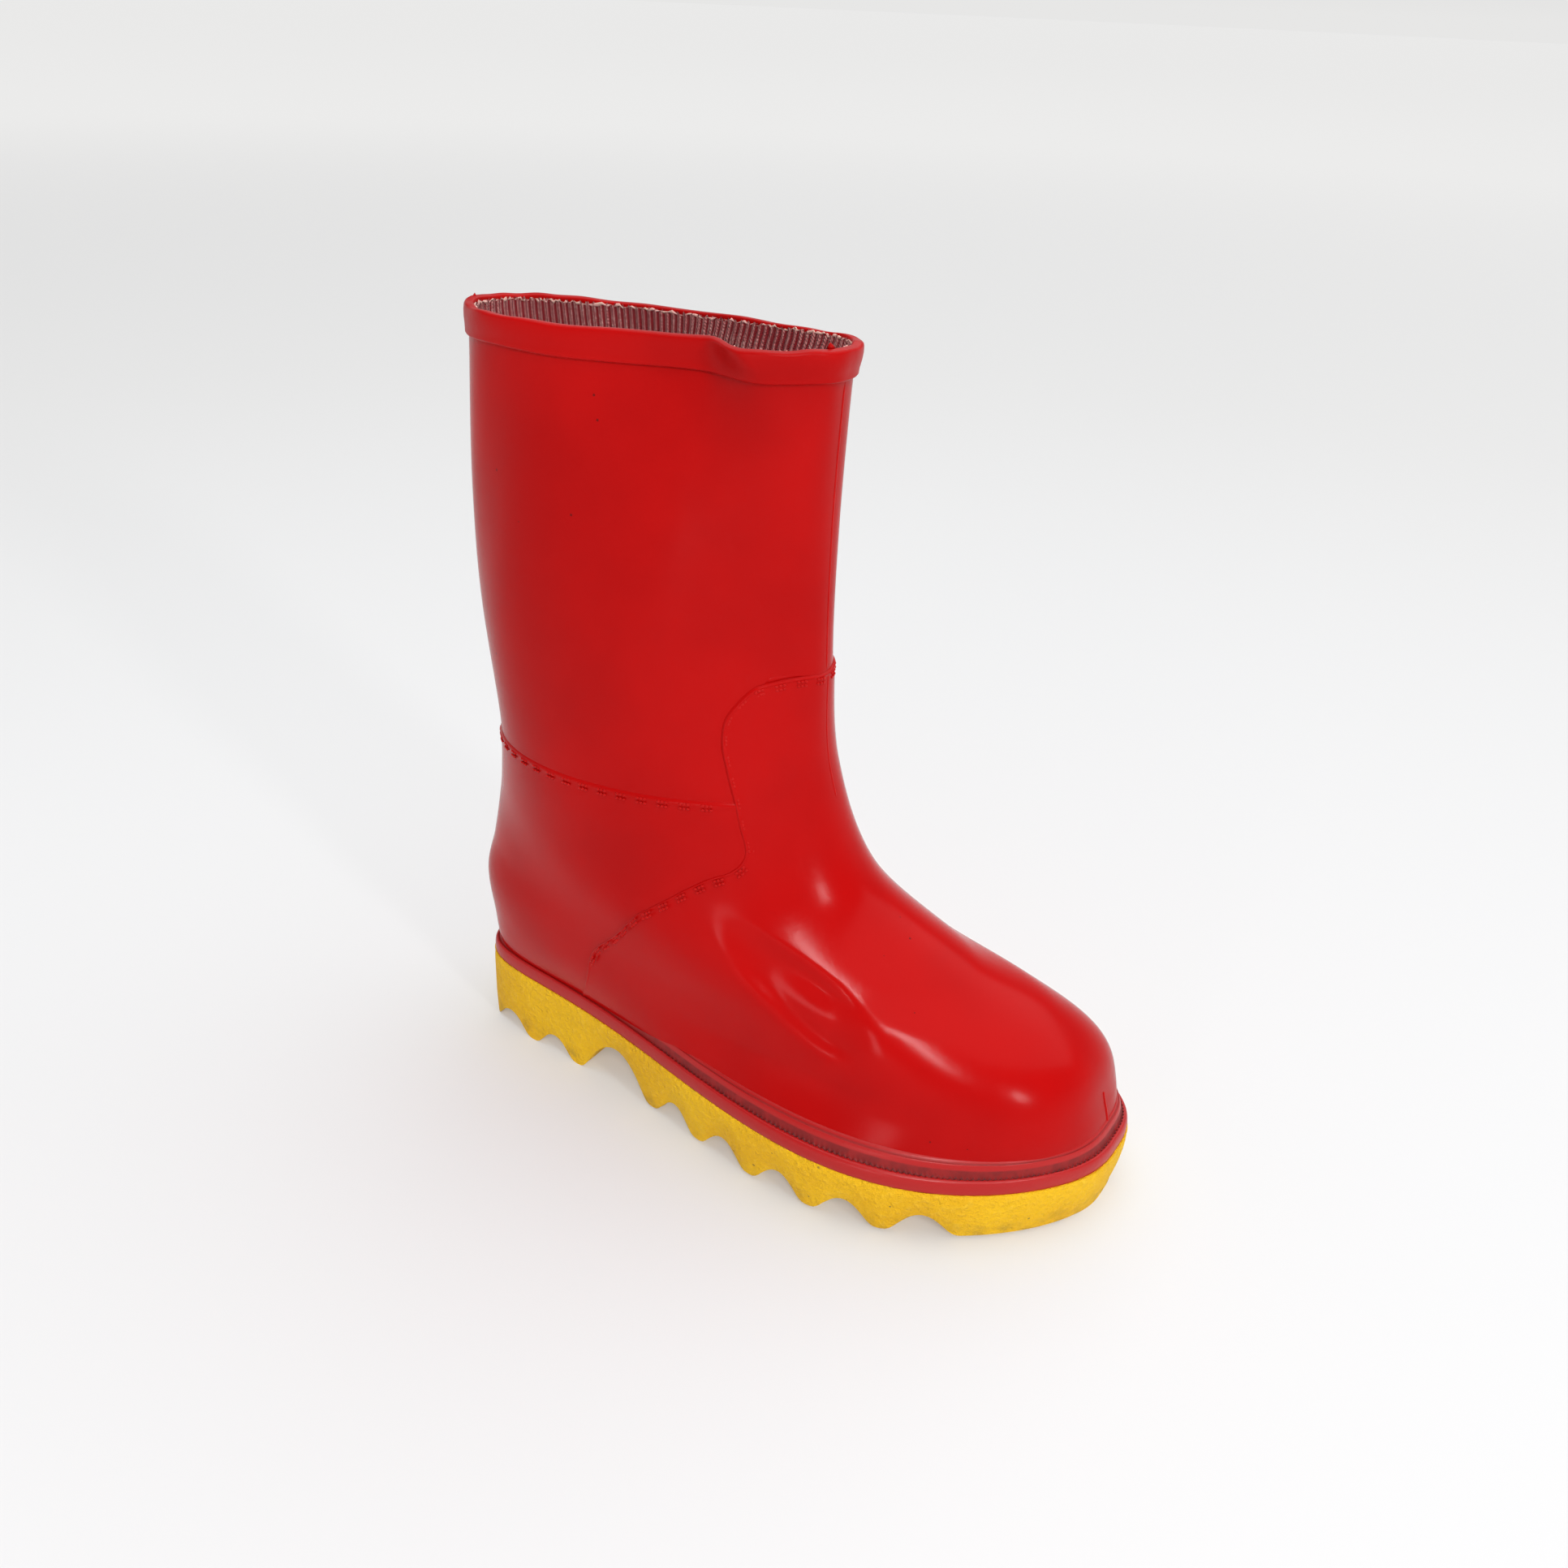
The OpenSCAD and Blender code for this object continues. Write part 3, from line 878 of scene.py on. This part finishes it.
@dataclass
class Welt:
    """The red welt that covers the joint between the upper and the outsole."""

    teeth: int = WELT_TEETH
    tooth_depth: float = 0.9
    start: float = -34.0
    inset: float = 0.35
    least: float = 2.8
    most: float = 5.5
    section: tuple[tuple[float, float], ...] = (
        (-0.35, 1.0), (-0.35, 8.9), (-0.05, 8.8), (0.06, 8.5), (0.10, 8.1), (0.14, 7.95),
        (0.20, 8.0), (0.25, 7.8), (0.33, 6.9), (0.39, 6.2), (0.44, 5.5), (0.48, 4.9),
        (0.52, 4.35), (0.58, 4.05), (0.64, 4.2), (0.72, 4.35), (0.82, 4.25), (0.92, 3.7),
        (0.97, 3.0), (1.0, 2.1), (1.0, 1.0), (0.98, 0.2), (0.94, -0.05), (0.3, -0.05))

    def build(self) -> bpy.types.Object:
        """Builds the welt as one section carried round the boot."""
        rows = np.array(self.section + self.section[:1])
        steps = len(rows) - 1
        dense = np.linspace(-180.0, 180.0, 3000)
        rim = LAST.outline(dense, self.inset)
        run = run_along(rim)
        upper = LAST.skin(dense, 0.6, 0.5)[:, :2]
        nearest = np.array([np.argmin(((upper - p) ** 2).sum(-1)) for p in rim])
        foot = upper[nearest]
        blur = np.hanning(61) / np.hanning(61).sum()
        foot = np.stack([np.convolve(np.r_[foot[-31:-1, k], foot[:, k], foot[1:31, k]], blur,
                                     "valid") for k in (0, 1)], -1)
        along = np.gradient(rim, axis=0)
        inward = np.stack([-along[:, 1], along[:, 0]], -1)
        inward /= np.linalg.norm(inward, axis=1)[:, None]
        width = np.clip(((foot - rim) * inward).sum(-1), self.least, self.most)
        foot = rim + inward * width[:, None]

        def place(u: np.ndarray, w: np.ndarray) -> np.ndarray:
            """Lays the section between the upper and the outline."""
            s = u * run[-1]
            t, h = (np.interp(w, np.linspace(0, 1, steps + 1), rows[:, k]) for k in (0, 1))
            inner = np.stack([np.interp(s, run, foot[:, k]) for k in (0, 1)], -1)
            outer = np.stack([np.interp(s, run, rim[:, k]) for k in (0, 1)], -1)
            xy = inner + (outer - inner) * t[:, None]
            front = smooth((xy[:, 0] - self.start) / 12.0)
            saw = np.abs(2.0 * np.mod(u * self.teeth, 1.0) - 1.0) - 0.5
            groove = np.exp(-((t - 0.55) / 0.07) ** 2) * (h > 3.0)
            h = h + self.tooth_depth * saw * groove * front
            z = LAST.sole_height(xy[:, 0]) + h
            return np.column_stack([xy, z])

        piece = weave("welt_moulding", 1500, steps, place)
        crisp(piece, 60.0)
        return piece

    def dress(self, finishes: Finishes) -> None:
        """Builds the welt and gives it its finish."""
        hand_over(self.build(), finishes.welt, ["welt_strip"])


# ---------------------------------------------------------------- the upper


EDGE_PATH = ((0, 6.88), (19, 6.90), (33, 6.88), (40, 6.84), (46, 6.72), (50, 6.58), (51, 6.38),
             (50, 6.18), (49, 5.92), (49, 5.68), (49, 5.50), (51, 5.38), (56, 5.26), (66, 5.10),
             (78, 4.78), (89, 4.34), (98, 3.66), (108, 2.40), (112, 1.70), (114, 0.9),
             (116, 0.02))
SPINE_PATH = (6.86, 6.84, 6.78, 6.70, 6.60, 6.45, 6.3, 6.1, 5.9, 5.7, 5.5, 5.3, 5.1, 4.8, 4.4, 3.9,
              3.3, 2.5, 2.0, 1.7, 1.5)


@dataclass
class Upper:
    """The red panels: the leg, the vamp over it, the two quarters and the heel strip."""

    wall: float = 1.3
    vamp_proud: float = 0.65
    quarter_proud: float = 0.42
    stay_proud: float = 0.85
    quarter_level: float = 5.9
    quarter_height: float = 76.0
    stay_half: float = 6.0
    stay_height: float = 78.0
    stay_wall: float = 1.4
    lip: float = 0.22
    edge_points: int = 200
    foot_points: int = 102
    degree_mm: float = 0.6
    level_mm: float = 13.0

    def edge(self, d: np.ndarray, proud: float) -> np.ndarray:
        """How far a panel stands out at a distance from its edge."""
        bead = 0.22 * np.exp(-((d - 0.5) / 0.35) ** 2)
        return proud * (1.0 - np.exp(-d / self.lip)) + bead - 0.12

    def leg(self) -> bpy.types.Object:
        """Builds the shaft, which runs down behind the other panels."""

        def place(u: np.ndarray, w: np.ndarray) -> np.ndarray:
            """Rings from behind the panels to the rim."""
            phi = -180.0 + 360.0 * u
            low = 5.55 + 0.95 * (1.0 - smooth((np.abs(phi) - 41.0) / 4.0))
            return LAST.skin(phi, low + (LAST.TOP - 0.05 - low) * w, 0.0)

        piece = weave("leg_panel", 420, 84, place, closed=False)
        thicken(piece, self.wall)
        return piece

    def vamp(self) -> bpy.types.Object:
        """Builds the vamp on lines from its middle out to its edge and to the welt."""
        edge = flow(EDGE_PATH, self.edge_points)
        knots = [float(np.argmin(np.hypot(edge[:, 0] - a, 12 * (edge[:, 1] - v))))
                 for a, v in EDGE_PATH]
        spine = np.interp(np.arange(self.edge_points), knots, SPINE_PATH)
        across = np.linspace(EDGE_PATH[-1][0], 0.0, self.foot_points)
        foot = np.stack([across, np.zeros(self.foot_points)], -1)[1:]
        half = np.vstack([edge, foot])
        middle = np.concatenate([spine, np.linspace(SPINE_PATH[-1], 0.03, self.foot_points)[1:]])
        rim = np.vstack([half, (half * (-1, 1))[-2::-1]])
        middle = np.concatenate([middle, middle[-2::-1]])
        dense = flow(EDGE_PATH, 1200)
        line = LAST.skin(dense[:, 0], dense[:, 1], 0.0)
        line = np.vstack([line, LAST.skin(-dense[:, 0], dense[:, 1], 0.0)])

        def place(u: np.ndarray, w: np.ndarray) -> np.ndarray:
            """Runs each column from the middle to the rim of the panel."""
            i = np.rint(u * (len(rim) - 1)).astype(int)
            end, start = rim[i], middle[i]
            rise = (end[:, 1] - start) * self.level_mm
            length = np.hypot(end[:, 0] * self.degree_mm, rise) + 0.4
            t = to_edge(w, length)
            phi, level = end[:, 0] * t, start + (end[:, 1] - start) * t
            distance = apart(LAST.skin(phi, level, 0.0), line)
            return LAST.skin(phi, level, self.edge(distance, self.vamp_proud))

        piece = weave("vamp_panel", len(rim) - 1, 80, place, closed=False)
        thicken(piece, self.wall)
        return piece

    def quarter(self, side: Side) -> bpy.types.Object:
        """Builds one quarter, which runs in under the vamp and the heel strip.

        Args:
            side: the side of the boot that it is on.

        Returns:
            The quarter as a solid.
        """
        path = flow(EDGE_PATH, 400)
        order = np.argsort(path[:, 1])
        path = path[order]

        def place(u: np.ndarray, w: np.ndarray) -> np.ndarray:
            """Rows from the welt up to the quarter's top edge."""
            t = to_edge(w, np.full_like(w, self.quarter_height))
            level = self.quarter_level * t
            start = np.interp(level, path[:, 1], path[:, 0]) - 4.0
            start = np.maximum(start, 44.0)
            end = 180.0 - self.stay_half + 1.5
            phi = start + (end - start) * u
            out = self.edge((1.0 - t) * self.quarter_height, self.quarter_proud)
            return LAST.skin(side.value * phi, level, out)

        piece = weave(f"quarter_panel_{side.name.lower()}", 150, 90, place, closed=False,
                      inward=side is Side.OUTER)
        thicken(piece, self.wall)
        return piece

    def stay(self) -> bpy.types.Object:
        """Builds the strip down the back of the heel."""

        def place(u: np.ndarray, w: np.ndarray) -> np.ndarray:
            """A flat strip with rounded edges."""
            across = np.sin((u - 0.5) * np.pi)
            up = (1.0 - np.cos(w * np.pi)) / 2.0
            phi = 180.0 + self.stay_half * across
            level = (self.quarter_level + 0.16) * up
            side = (1.0 - np.abs(across)) * self.stay_half * 0.62
            end = (1.0 - up) * self.stay_height
            wave = np.sin(up * self.stay_height * 2 * np.pi / 6.0)
            bump = 0.16 * np.maximum(0.0, wave) * (1 - across ** 4)
            out = self.edge(np.minimum(side, end), self.stay_proud) + bump
            return LAST.skin(phi, level, out)

        piece = weave("heel_strip", 28, 260, place, closed=False)
        thicken(piece, self.stay_wall)
        return piece

    def dress(self, finishes: Finishes) -> None:
        """Builds the panels and gives them their finish."""
        hand_over(self.leg(), finishes.gloss, ["leg"])
        hand_over(self.vamp(), finishes.gloss, ["vamp"])
        hand_over(self.quarter(Side.OUTER), finishes.gloss, ["quarter_outer"])
        hand_over(self.quarter(Side.INNER), finishes.gloss, ["quarter_inner"])
        hand_over(self.stay(), finishes.gloss, ["backstay"])


@dataclass
class Seams:
    """The moulded stitch marks along the panels' edges and the lines where the mould parts."""

    pitch: float = 6.0
    stitch: float = 0.66
    along_gap: float = 1.05
    row_gap: float = 1.15
    beside: float = 1.25
    ridge_steps: int = 240
    ridge_sides: int = 6

    def marks(self, name: str, path: np.ndarray, away: float, proud: float) -> bpy.types.Object:
        """Builds clusters of stitch marks along a path.

        Args:
            name: the piece's name.
            path: rows of angle and level, along the seam.
            away: how far below the seam the marks lie, in millimetres; its sign is the side.
            proud: how far the panel under them stands out.

        Returns:
            The marks as one piece.
        """
        where = LAST.skin(path[:, 0], path[:, 1], proud)
        run = run_along(where)
        bpy.ops.object.select_all(action="DESELECT")
        piece = None
        size = self.stitch * MM
        starts = np.arange(self.pitch / 2, run[-1] - 1.0, self.pitch)
        for start, k, row in itertools.product(starts, range(3), range(2)):
            s = start + (k - 1) * self.along_gap
            q = [np.interp(s + e, run, path[:, a]) for e in (0, 0.2) for a in (0, 1)]
            a, b = LAST.skin(np.array([q[0], q[2]]), np.array([q[1], q[3]]), proud)
            raised = LAST.skin(np.array([q[0]]), np.array([q[1]]), proud + 1.0)[0]
            along = (b - a) / np.linalg.norm(b - a)
            normal = (raised - a) / np.linalg.norm(raised - a)
            across = np.cross(normal, along)
            shift = (abs(away) + row * self.row_gap) * math.copysign(1.0, away)
            bpy.ops.mesh.primitive_uv_sphere_add(
                segments=8, ring_count=5, radius=1.0,
                location=(a + across * shift - normal * 0.03) * MM,
                rotation=Matrix((along, across, normal)).transposed().to_euler(),
                scale=(size * 0.75, size * 0.55, size * 0.42))
            if piece is None:
                piece = bpy.context.object
                bpy.ops.object.transform_apply()
                bpy.ops.object.mode_set(mode="EDIT")
        bpy.ops.object.mode_set(mode="OBJECT")
        bpy.ops.object.shade_smooth()
        piece.name = name
        piece.data.name = name
        return piece

    def ridge(self, name: str, path: np.ndarray, width: float, height: float,
              proud: float) -> bpy.types.Object:
        """Builds a fine ridge.

        Args:
            name: the piece's name.
            path: rows of angle and level, along the ridge.
            width: half its width, in millimetres.
            height: how far it stands up.
            proud: how far the panel under it stands out.

        Returns:
            The ridge as a solid.
        """

        def place(u: np.ndarray, w: np.ndarray) -> np.ndarray:
            """A rounded section carried along the path."""
            n = len(path) - 1
            at = u * n
            phi = np.interp(at, np.arange(n + 1), path[:, 0])
            level = np.interp(at, np.arange(n + 1), path[:, 1])
            turn = 2 * np.pi * w
            taper = np.clip(np.minimum(u, 1 - u) * 30.0, 0.05, 1.0)
            side = width * np.cos(turn) * taper
            up = height * np.sin(turn) * taper
            base = LAST.skin(phi, level, proud + up)
            ahead = LAST.skin(phi + 0.4, level, proud + up)
            across = ahead - base
            return base + across / np.linalg.norm(across, axis=1)[:, None] * side[:, None]

        return weave(name, self.ridge_steps, self.ridge_sides, place)

    def dress(self, finishes: Finishes, upper: Upper) -> None:
        """Builds the marks and ridges and gives them their finish."""
        edge = flow(EDGE_PATH[:-2], 300)
        for side in Side:
            path = edge * (side.value, 1)
            away = self.beside * side.value
            piece = self.marks(f"vamp_stitches_{side.name.lower()}", path, -away,
                               upper.vamp_proud)
            hand_over(piece, finishes.stitch)
            line = flow([(54, upper.quarter_level), (90, upper.quarter_level),
                         (130, upper.quarter_level), (170, upper.quarter_level)], 200)
            piece = self.marks(f"quarter_stitches_{side.name.lower()}",
                               line * (side.value, 1), -away, upper.quarter_proud)
            hand_over(piece, finishes.stitch)
        low = upper.vamp_proud - 0.1
        lines = (
            ("front_line", [(0, 9.22), (0, 8.0), (0, 7.0), (0, 6.92)], 80, 0.32, 0.22, 0.0),
            ("throat_line", [(0, 6.86), (0, 6.4), (0, 5.8)], 60, 0.26, 0.16, low),
            ("back_line", [(180, 9.22), (180, 8.0), (180, 7.0), (180, 6.1)], 80, 0.32, 0.22, 0.0),
            ("toe_line", [(0, 1.34), (0, 0.9), (0, 0.36)], 60, 0.4, 0.3, low))
        for name, points, count, width, height, proud in lines:
            piece = self.ridge(name, flow(points, count), width, height, proud)
            finish = finishes.stitch if name == "toe_line" else finishes.ridge
            hand_over(piece, finish)


# ---------------------------------------------------------------- the collar and the lining


@dataclass
class Collar:
    """The band round the rim, with the small torn points that its mould leaves."""

    section: tuple[tuple[float, float], ...] = (
        (9.3, -0.4), (9.3, 0.1), (9.05, 0.85), (8.8, 1.05), (8.4, 1.05), (7.4, 1.1),
        (5.0, 1.3), (2.6, 1.3), (1.0, 1.15), (0.35, 0.95), (0.05, 0.55), (0.0, 0.1),
        (0.0, -0.8), (0.08, -1.35), (0.4, -1.6), (1.4, -1.7), (2.4, -1.7), (2.4, -1.0))

    def build(self) -> bpy.types.Object:
        """Builds the band as one section of drop and proudness carried round the rim."""
        rows = np.array(self.section + self.section[:1])
        knots = np.linspace(0, 1, len(rows))

        def place(u: np.ndarray, w: np.ndarray) -> np.ndarray:
            """Lays the section round the rim."""
            phi = -180.0 + 360.0 * u
            drop, out = (np.interp(w, knots, rows[:, k]) for k in (0, 1))
            a = np.radians(phi)
            wave = 0.18 * np.sin(7 * a + 1.0) + 0.12 * np.sin(17 * a) * (drop < 2)
            return LAST.skin(phi, LAST.TOP - (drop + wave) / LAST.RIM_STEP, out)

        return weave("collar_moulding", 480, (len(rows) - 1) * 2, place)

    def flash(self, name: str, phi: float, out: float, size: float) -> bpy.types.Object:
        """Builds one small torn point on the rim."""
        base = LAST.skin(np.array([phi]), np.array([LAST.TOP]), np.array([out]))[0]
        spot = Vector(base + (0.0, 0.0, size * 0.3)) * MM
        bpy.ops.object.select_all(action="DESELECT")
        bpy.ops.mesh.primitive_cone_add(vertices=10, radius1=size * 0.9 * MM, radius2=0.0,
                                        depth=size * 1.5 * MM, location=spot,
                                        rotation=(0.5, 0.3, math.radians(phi)))
        piece = bpy.context.object
        piece.name = name
        piece.data.name = name
        bpy.ops.object.transform_apply()
        bpy.ops.object.shade_smooth()
        return piece

    def dress(self, finishes: Finishes) -> None:
        """Builds the band and gives it its finish."""
        hand_over(self.build(), finishes.collar, ["collar_band"])
        hand_over(self.flash("rim_flash_back", -176.0, 0.3, 0.9), finishes.collar)
        hand_over(self.flash("rim_flash_front", -12.0, -2.2, 1.3), finishes.collar)


@dataclass
class Lining:
    """The ribbed knit sock inside the boot and its frayed edge at the rim."""

    ribs: int = KNIT_RIBS
    face: float = -3.2
    cord: float = 0.28
    flare: float = 1.0
    top: float = 9.93
    fold: float = 0.86

    def build(self) -> bpy.types.Object:
        """Builds the lining with its evenly spaced ribs and its closed sole."""
        turn = np.linspace(-180.0, 180.0, 1441)
        run = run_along(LAST.skin(turn, 9.0, self.face))

        def place(u: np.ndarray, w: np.ndarray) -> np.ndarray:
            """Goes down the wall and then across the sole to its middle."""
            phi = np.interp(u * run[-1], run, turn)
            wall = np.clip(w / self.fold, 0, 1)
            sole = np.clip((w - self.fold) / (1 - self.fold), 0, 1)
            wander = 0.10 * np.sin(wall * 23.0 + u * 40.0) + 0.06 * np.sin(wall * 61.0)
            rib = np.cos(2 * np.pi * (u * self.ribs + wander))
            edge = 0.035 * np.sin(u * 731.0) + 0.025 * np.sin(u * 1913.0 + 1.0)
            level = self.top + edge - (self.top + edge - 0.32) * wall
            face = self.face + 0.25 + self.flare * smooth((level - 9.0) / 0.8)
            p = LAST.skin(phi, level, face - self.cord * np.clip(rib, -0.55, 1))
            middle = LAST.swing(p[:, 0])
            p[:, 1] = p[:, 1] + (middle - p[:, 1]) * sole
            p[:, 2] = np.where(sole > 0, LAST.sole_height(p[:, 0]) + 2.4
                               + (1 - smooth(sole / 0.1)) * 1.6, p[:, 2])
            return p

        piece = weave("knit_sock", self.ribs * 6, 112, place, closed=False, inward=False)
        pick(piece)
        bpy.ops.object.mode_set(mode="EDIT")
        bpy.ops.mesh.select_all(action="SELECT")
        bpy.ops.mesh.normals_make_consistent(inside=True)
        bpy.ops.object.mode_set(mode="OBJECT")
        return piece

    def fray(self) -> bpy.types.Object:
        """Builds the fleecy roll at the lining's torn edge."""
        rng = np.random.default_rng(7)
        bumps = rng.uniform(0.05, 1.0, 361) ** 1.6
        lift = rng.uniform(-0.5, 0.5, 361)

        def place(u: np.ndarray, w: np.ndarray) -> np.ndarray:
            """A lumpy thread round the inside of the rim."""
            phi = -180.0 + 360.0 * u
            turn = 2 * np.pi * w
            size = np.interp(np.mod(u, 1.0) * 360, np.arange(361), bumps) * 0.5
            high = np.interp(np.mod(u, 1.0) * 360, np.arange(361), lift)
            out = self.face + self.flare + 0.35 + size * np.cos(turn)
            drop = 1.1 - high - size * 1.3 * np.sin(turn)
            return LAST.skin(phi, LAST.TOP - drop / LAST.RIM_STEP, out)

        return weave("knit_fray", 1440, 8, place)

    def dress(self, finishes: Finishes) -> None:
        """Builds the lining and gives it its finish."""
        hand_over(self.build(), finishes.knit, ["lining"])
        hand_over(self.fray(), finishes.fray)


# ---------------------------------------------------------------- the footbed


@dataclass
class Footbed:
    """The loose foam footbed with its cloth cover."""

    out: float = -6.3
    base: float = 3.1
    foam: float = 3.4
    cloth: float = 0.6
    edge: float = 0.7

    def layer(self, name: str, low: float, high: float, edge: float) -> bpy.types.Object:
        """Builds one layer as a flat pad with rounded edges.

        Args:
            name: the piece's name.
            low: the height of its underside over the footbed's base, in millimetres.
            high: the height of its top.
            edge: the radius of its edges.

        Returns:
            The layer as a solid.
        """
        arc = np.linspace(0.0, math.pi / 2, 5)
        up = [(edge - edge * math.sin(a), high - edge + edge * math.cos(a)) for a in arc]
        down = [(edge - edge * math.cos(a), low + edge - edge * math.sin(a)) for a in arc]
        rows = np.array([(edge, high)] * 3 + up + down + [(edge, low)] * 3)
        inward = np.array([1.0, 0.6, 0.2] + [0.0] * 10 + [0.2, 0.6, 1.0])

        def place(u: np.ndarray, w: np.ndarray) -> np.ndarray:
            """Lays the pad's section round its outline."""
            phi = -180.0 + 360.0 * u
            i = np.rint(w * (len(rows) - 1)).astype(int)
            inset, height, toward = rows[i, 0], rows[i, 1], inward[i]
            p = LAST.bare_skin(phi, np.zeros_like(phi), self.out - inset)
            middle = LAST.swing(p[:, 0])
            y = p[:, 1] + (middle - p[:, 1]) * toward
            return np.stack([p[:, 0], y, LAST.sole_height(p[:, 0]) + self.base + height], -1)

        return weave(name, 240, len(rows) - 1, place)

    def dress(self, finishes: Finishes) -> None:
        """Builds the footbed and gives it its finish."""
        pad = self.layer("footbed_pad", 0.0, self.foam, self.edge)
        hand_over(pad, finishes.foam, ["footbed_foam"], Body.FOOTBED)
        cover = self.layer("footbed_cover", self.foam, self.foam + self.cloth, 0.25)
        hand_over(cover, finishes.cloth, ["footbed_cloth"], Body.FOOTBED)


# ---------------------------------------------------------------- the studio


@dataclass
class Studio:
    """The pale floor, the soft lights and the camera."""

    azimuth: float = 30.5
    elevation: float = 27.3
    distance: float = 0.415
    target_x: float = -0.00165
    target_z: float = 0.1046
    lens: float = 35.35
    roll: float = 2.56

    def floor(self, finishes: Finishes) -> None:
        """Lays the floor."""
        bpy.ops.object.select_all(action="DESELECT")
        bpy.ops.mesh.primitive_circle_add(vertices=96, radius=30.0, fill_type="NGON")
        floor = bpy.context.object
        floor.name = "floor"
        floor.data.materials.append(finishes.floor)

    def light(self, name: str, at: tuple[float, float, float], size: tuple[float, float],
              power: float, toward: tuple[float, float, float] = (0.0, 0.0, 0.08)) -> None:
        """Hangs one soft light.

        Args:
            name: the light's name.
            at: its place, in metres.
            size: its width and height, in metres.
            power: its power, in watts.
            toward: the place that it faces.
        """
        bpy.ops.object.select_all(action="DESELECT")
        bpy.ops.object.light_add(type="AREA", location=at)
        lamp = bpy.context.object
        lamp.name = name
        lamp.data.shape = "RECTANGLE"
        lamp.data.size, lamp.data.size_y = size
        lamp.data.energy = power
        aim = Vector(toward) - Vector(at)
        lamp.rotation_euler = aim.to_track_quat("-Z", "Y").to_euler()

    def lights(self) -> None:
        """Hangs the lights and sets the surroundings."""
        self.light("light_top", (0.3, 1.2, 4.0), (8.0, 8.0), 300.0)
        self.light("light_window", (0.90, -1.33, 1.40), (0.16, 0.50), 17.0)
        self.light("light_side", (1.33, -0.56, 0.64), (0.13, 0.24), 5.0)
        self.light("light_low", (0.16, -1.5, 0.34), (0.22, 0.22), 1.6)
        world = bpy.data.worlds.new("surroundings")
        world.use_nodes = True
        tree = world.node_tree
        back = tree.nodes["Background"]
        place = tree.nodes.new("ShaderNodeTexCoord")
        parts = tree.nodes.new("ShaderNodeSeparateXYZ")
        ramp = tree.nodes.new("ShaderNodeValToRGB")
        ramp.color_ramp.elements[0].color = Tint.HORIZON.value
        ramp.color_ramp.elements[1].color = shade(0.22, 0.225, 0.24)
        ramp.color_ramp.elements[1].position = 0.35
        tree.links.new(place.outputs["Generated"], parts.inputs[0])
        tree.links.new(parts.outputs["Z"], ramp.inputs[0])
        tree.links.new(ramp.outputs[0], back.inputs["Color"])
        back.inputs["Strength"].default_value = 1.0
        bpy.context.scene.world = world
        bpy.context.scene.view_settings.view_transform = "Standard"

    def camera(self) -> None:
        """Sets up the camera."""
        az, el, turn = (math.radians(a) for a in (self.azimuth, self.elevation, self.roll))
        target = Vector((self.target_x, -LAST.middle * MM, self.target_z))
        away = Vector((math.sin(az) * math.cos(el), -math.cos(az) * math.cos(el),
                       math.sin(el)))
        right = Vector((math.cos(az), math.sin(az), 0.0))
        up = away.cross(right)
        tilted_right = math.cos(turn) * right + math.sin(turn) * up
        tilted_up = -math.sin(turn) * right + math.cos(turn) * up
        bpy.ops.object.select_all(action="DESELECT")
        bpy.ops.object.camera_add()
        camera = bpy.context.object
        camera.name = "camera"
        camera.data.lens = self.lens
        camera.data.sensor_width = 36.0
        camera.data.clip_start = 0.01
        spin = Matrix((tilted_right, tilted_up, away)).transposed().to_4x4()
        camera.matrix_world = Matrix.Translation(target + away * self.distance) @ spin
        bpy.context.scene.camera = camera

    def build(self, finishes: Finishes) -> None:
        """Sets up the studio."""
        self.floor(finishes)
        self.lights()
        self.camera()


def dress_hidden_nodes(finishes: Finishes) -> None:
    """Gives the two CAD nodes that are shown as they are their finish."""
    for node, material in (("heel_core", finishes.foam), ("insole_board", finishes.board)):
        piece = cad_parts[node]
        piece.data.materials.clear()
        piece.data.materials.append(material)


def main() -> None:
    """Builds the boot from the ground up."""
    logging.basicConfig(level=logging.INFO, format="%(message)s")
    finishes = Finishes()
    dress_hidden_nodes(finishes)
    Outsole().dress(finishes)
    Welt().dress(finishes)
    upper = Upper()
    upper.dress(finishes)
    Seams().dress(finishes, upper)
    Collar().dress(finishes)
    Lining().dress(finishes)
    Footbed().dress(finishes)
    Studio().build(finishes)


if __name__ == "__main__":
    main()
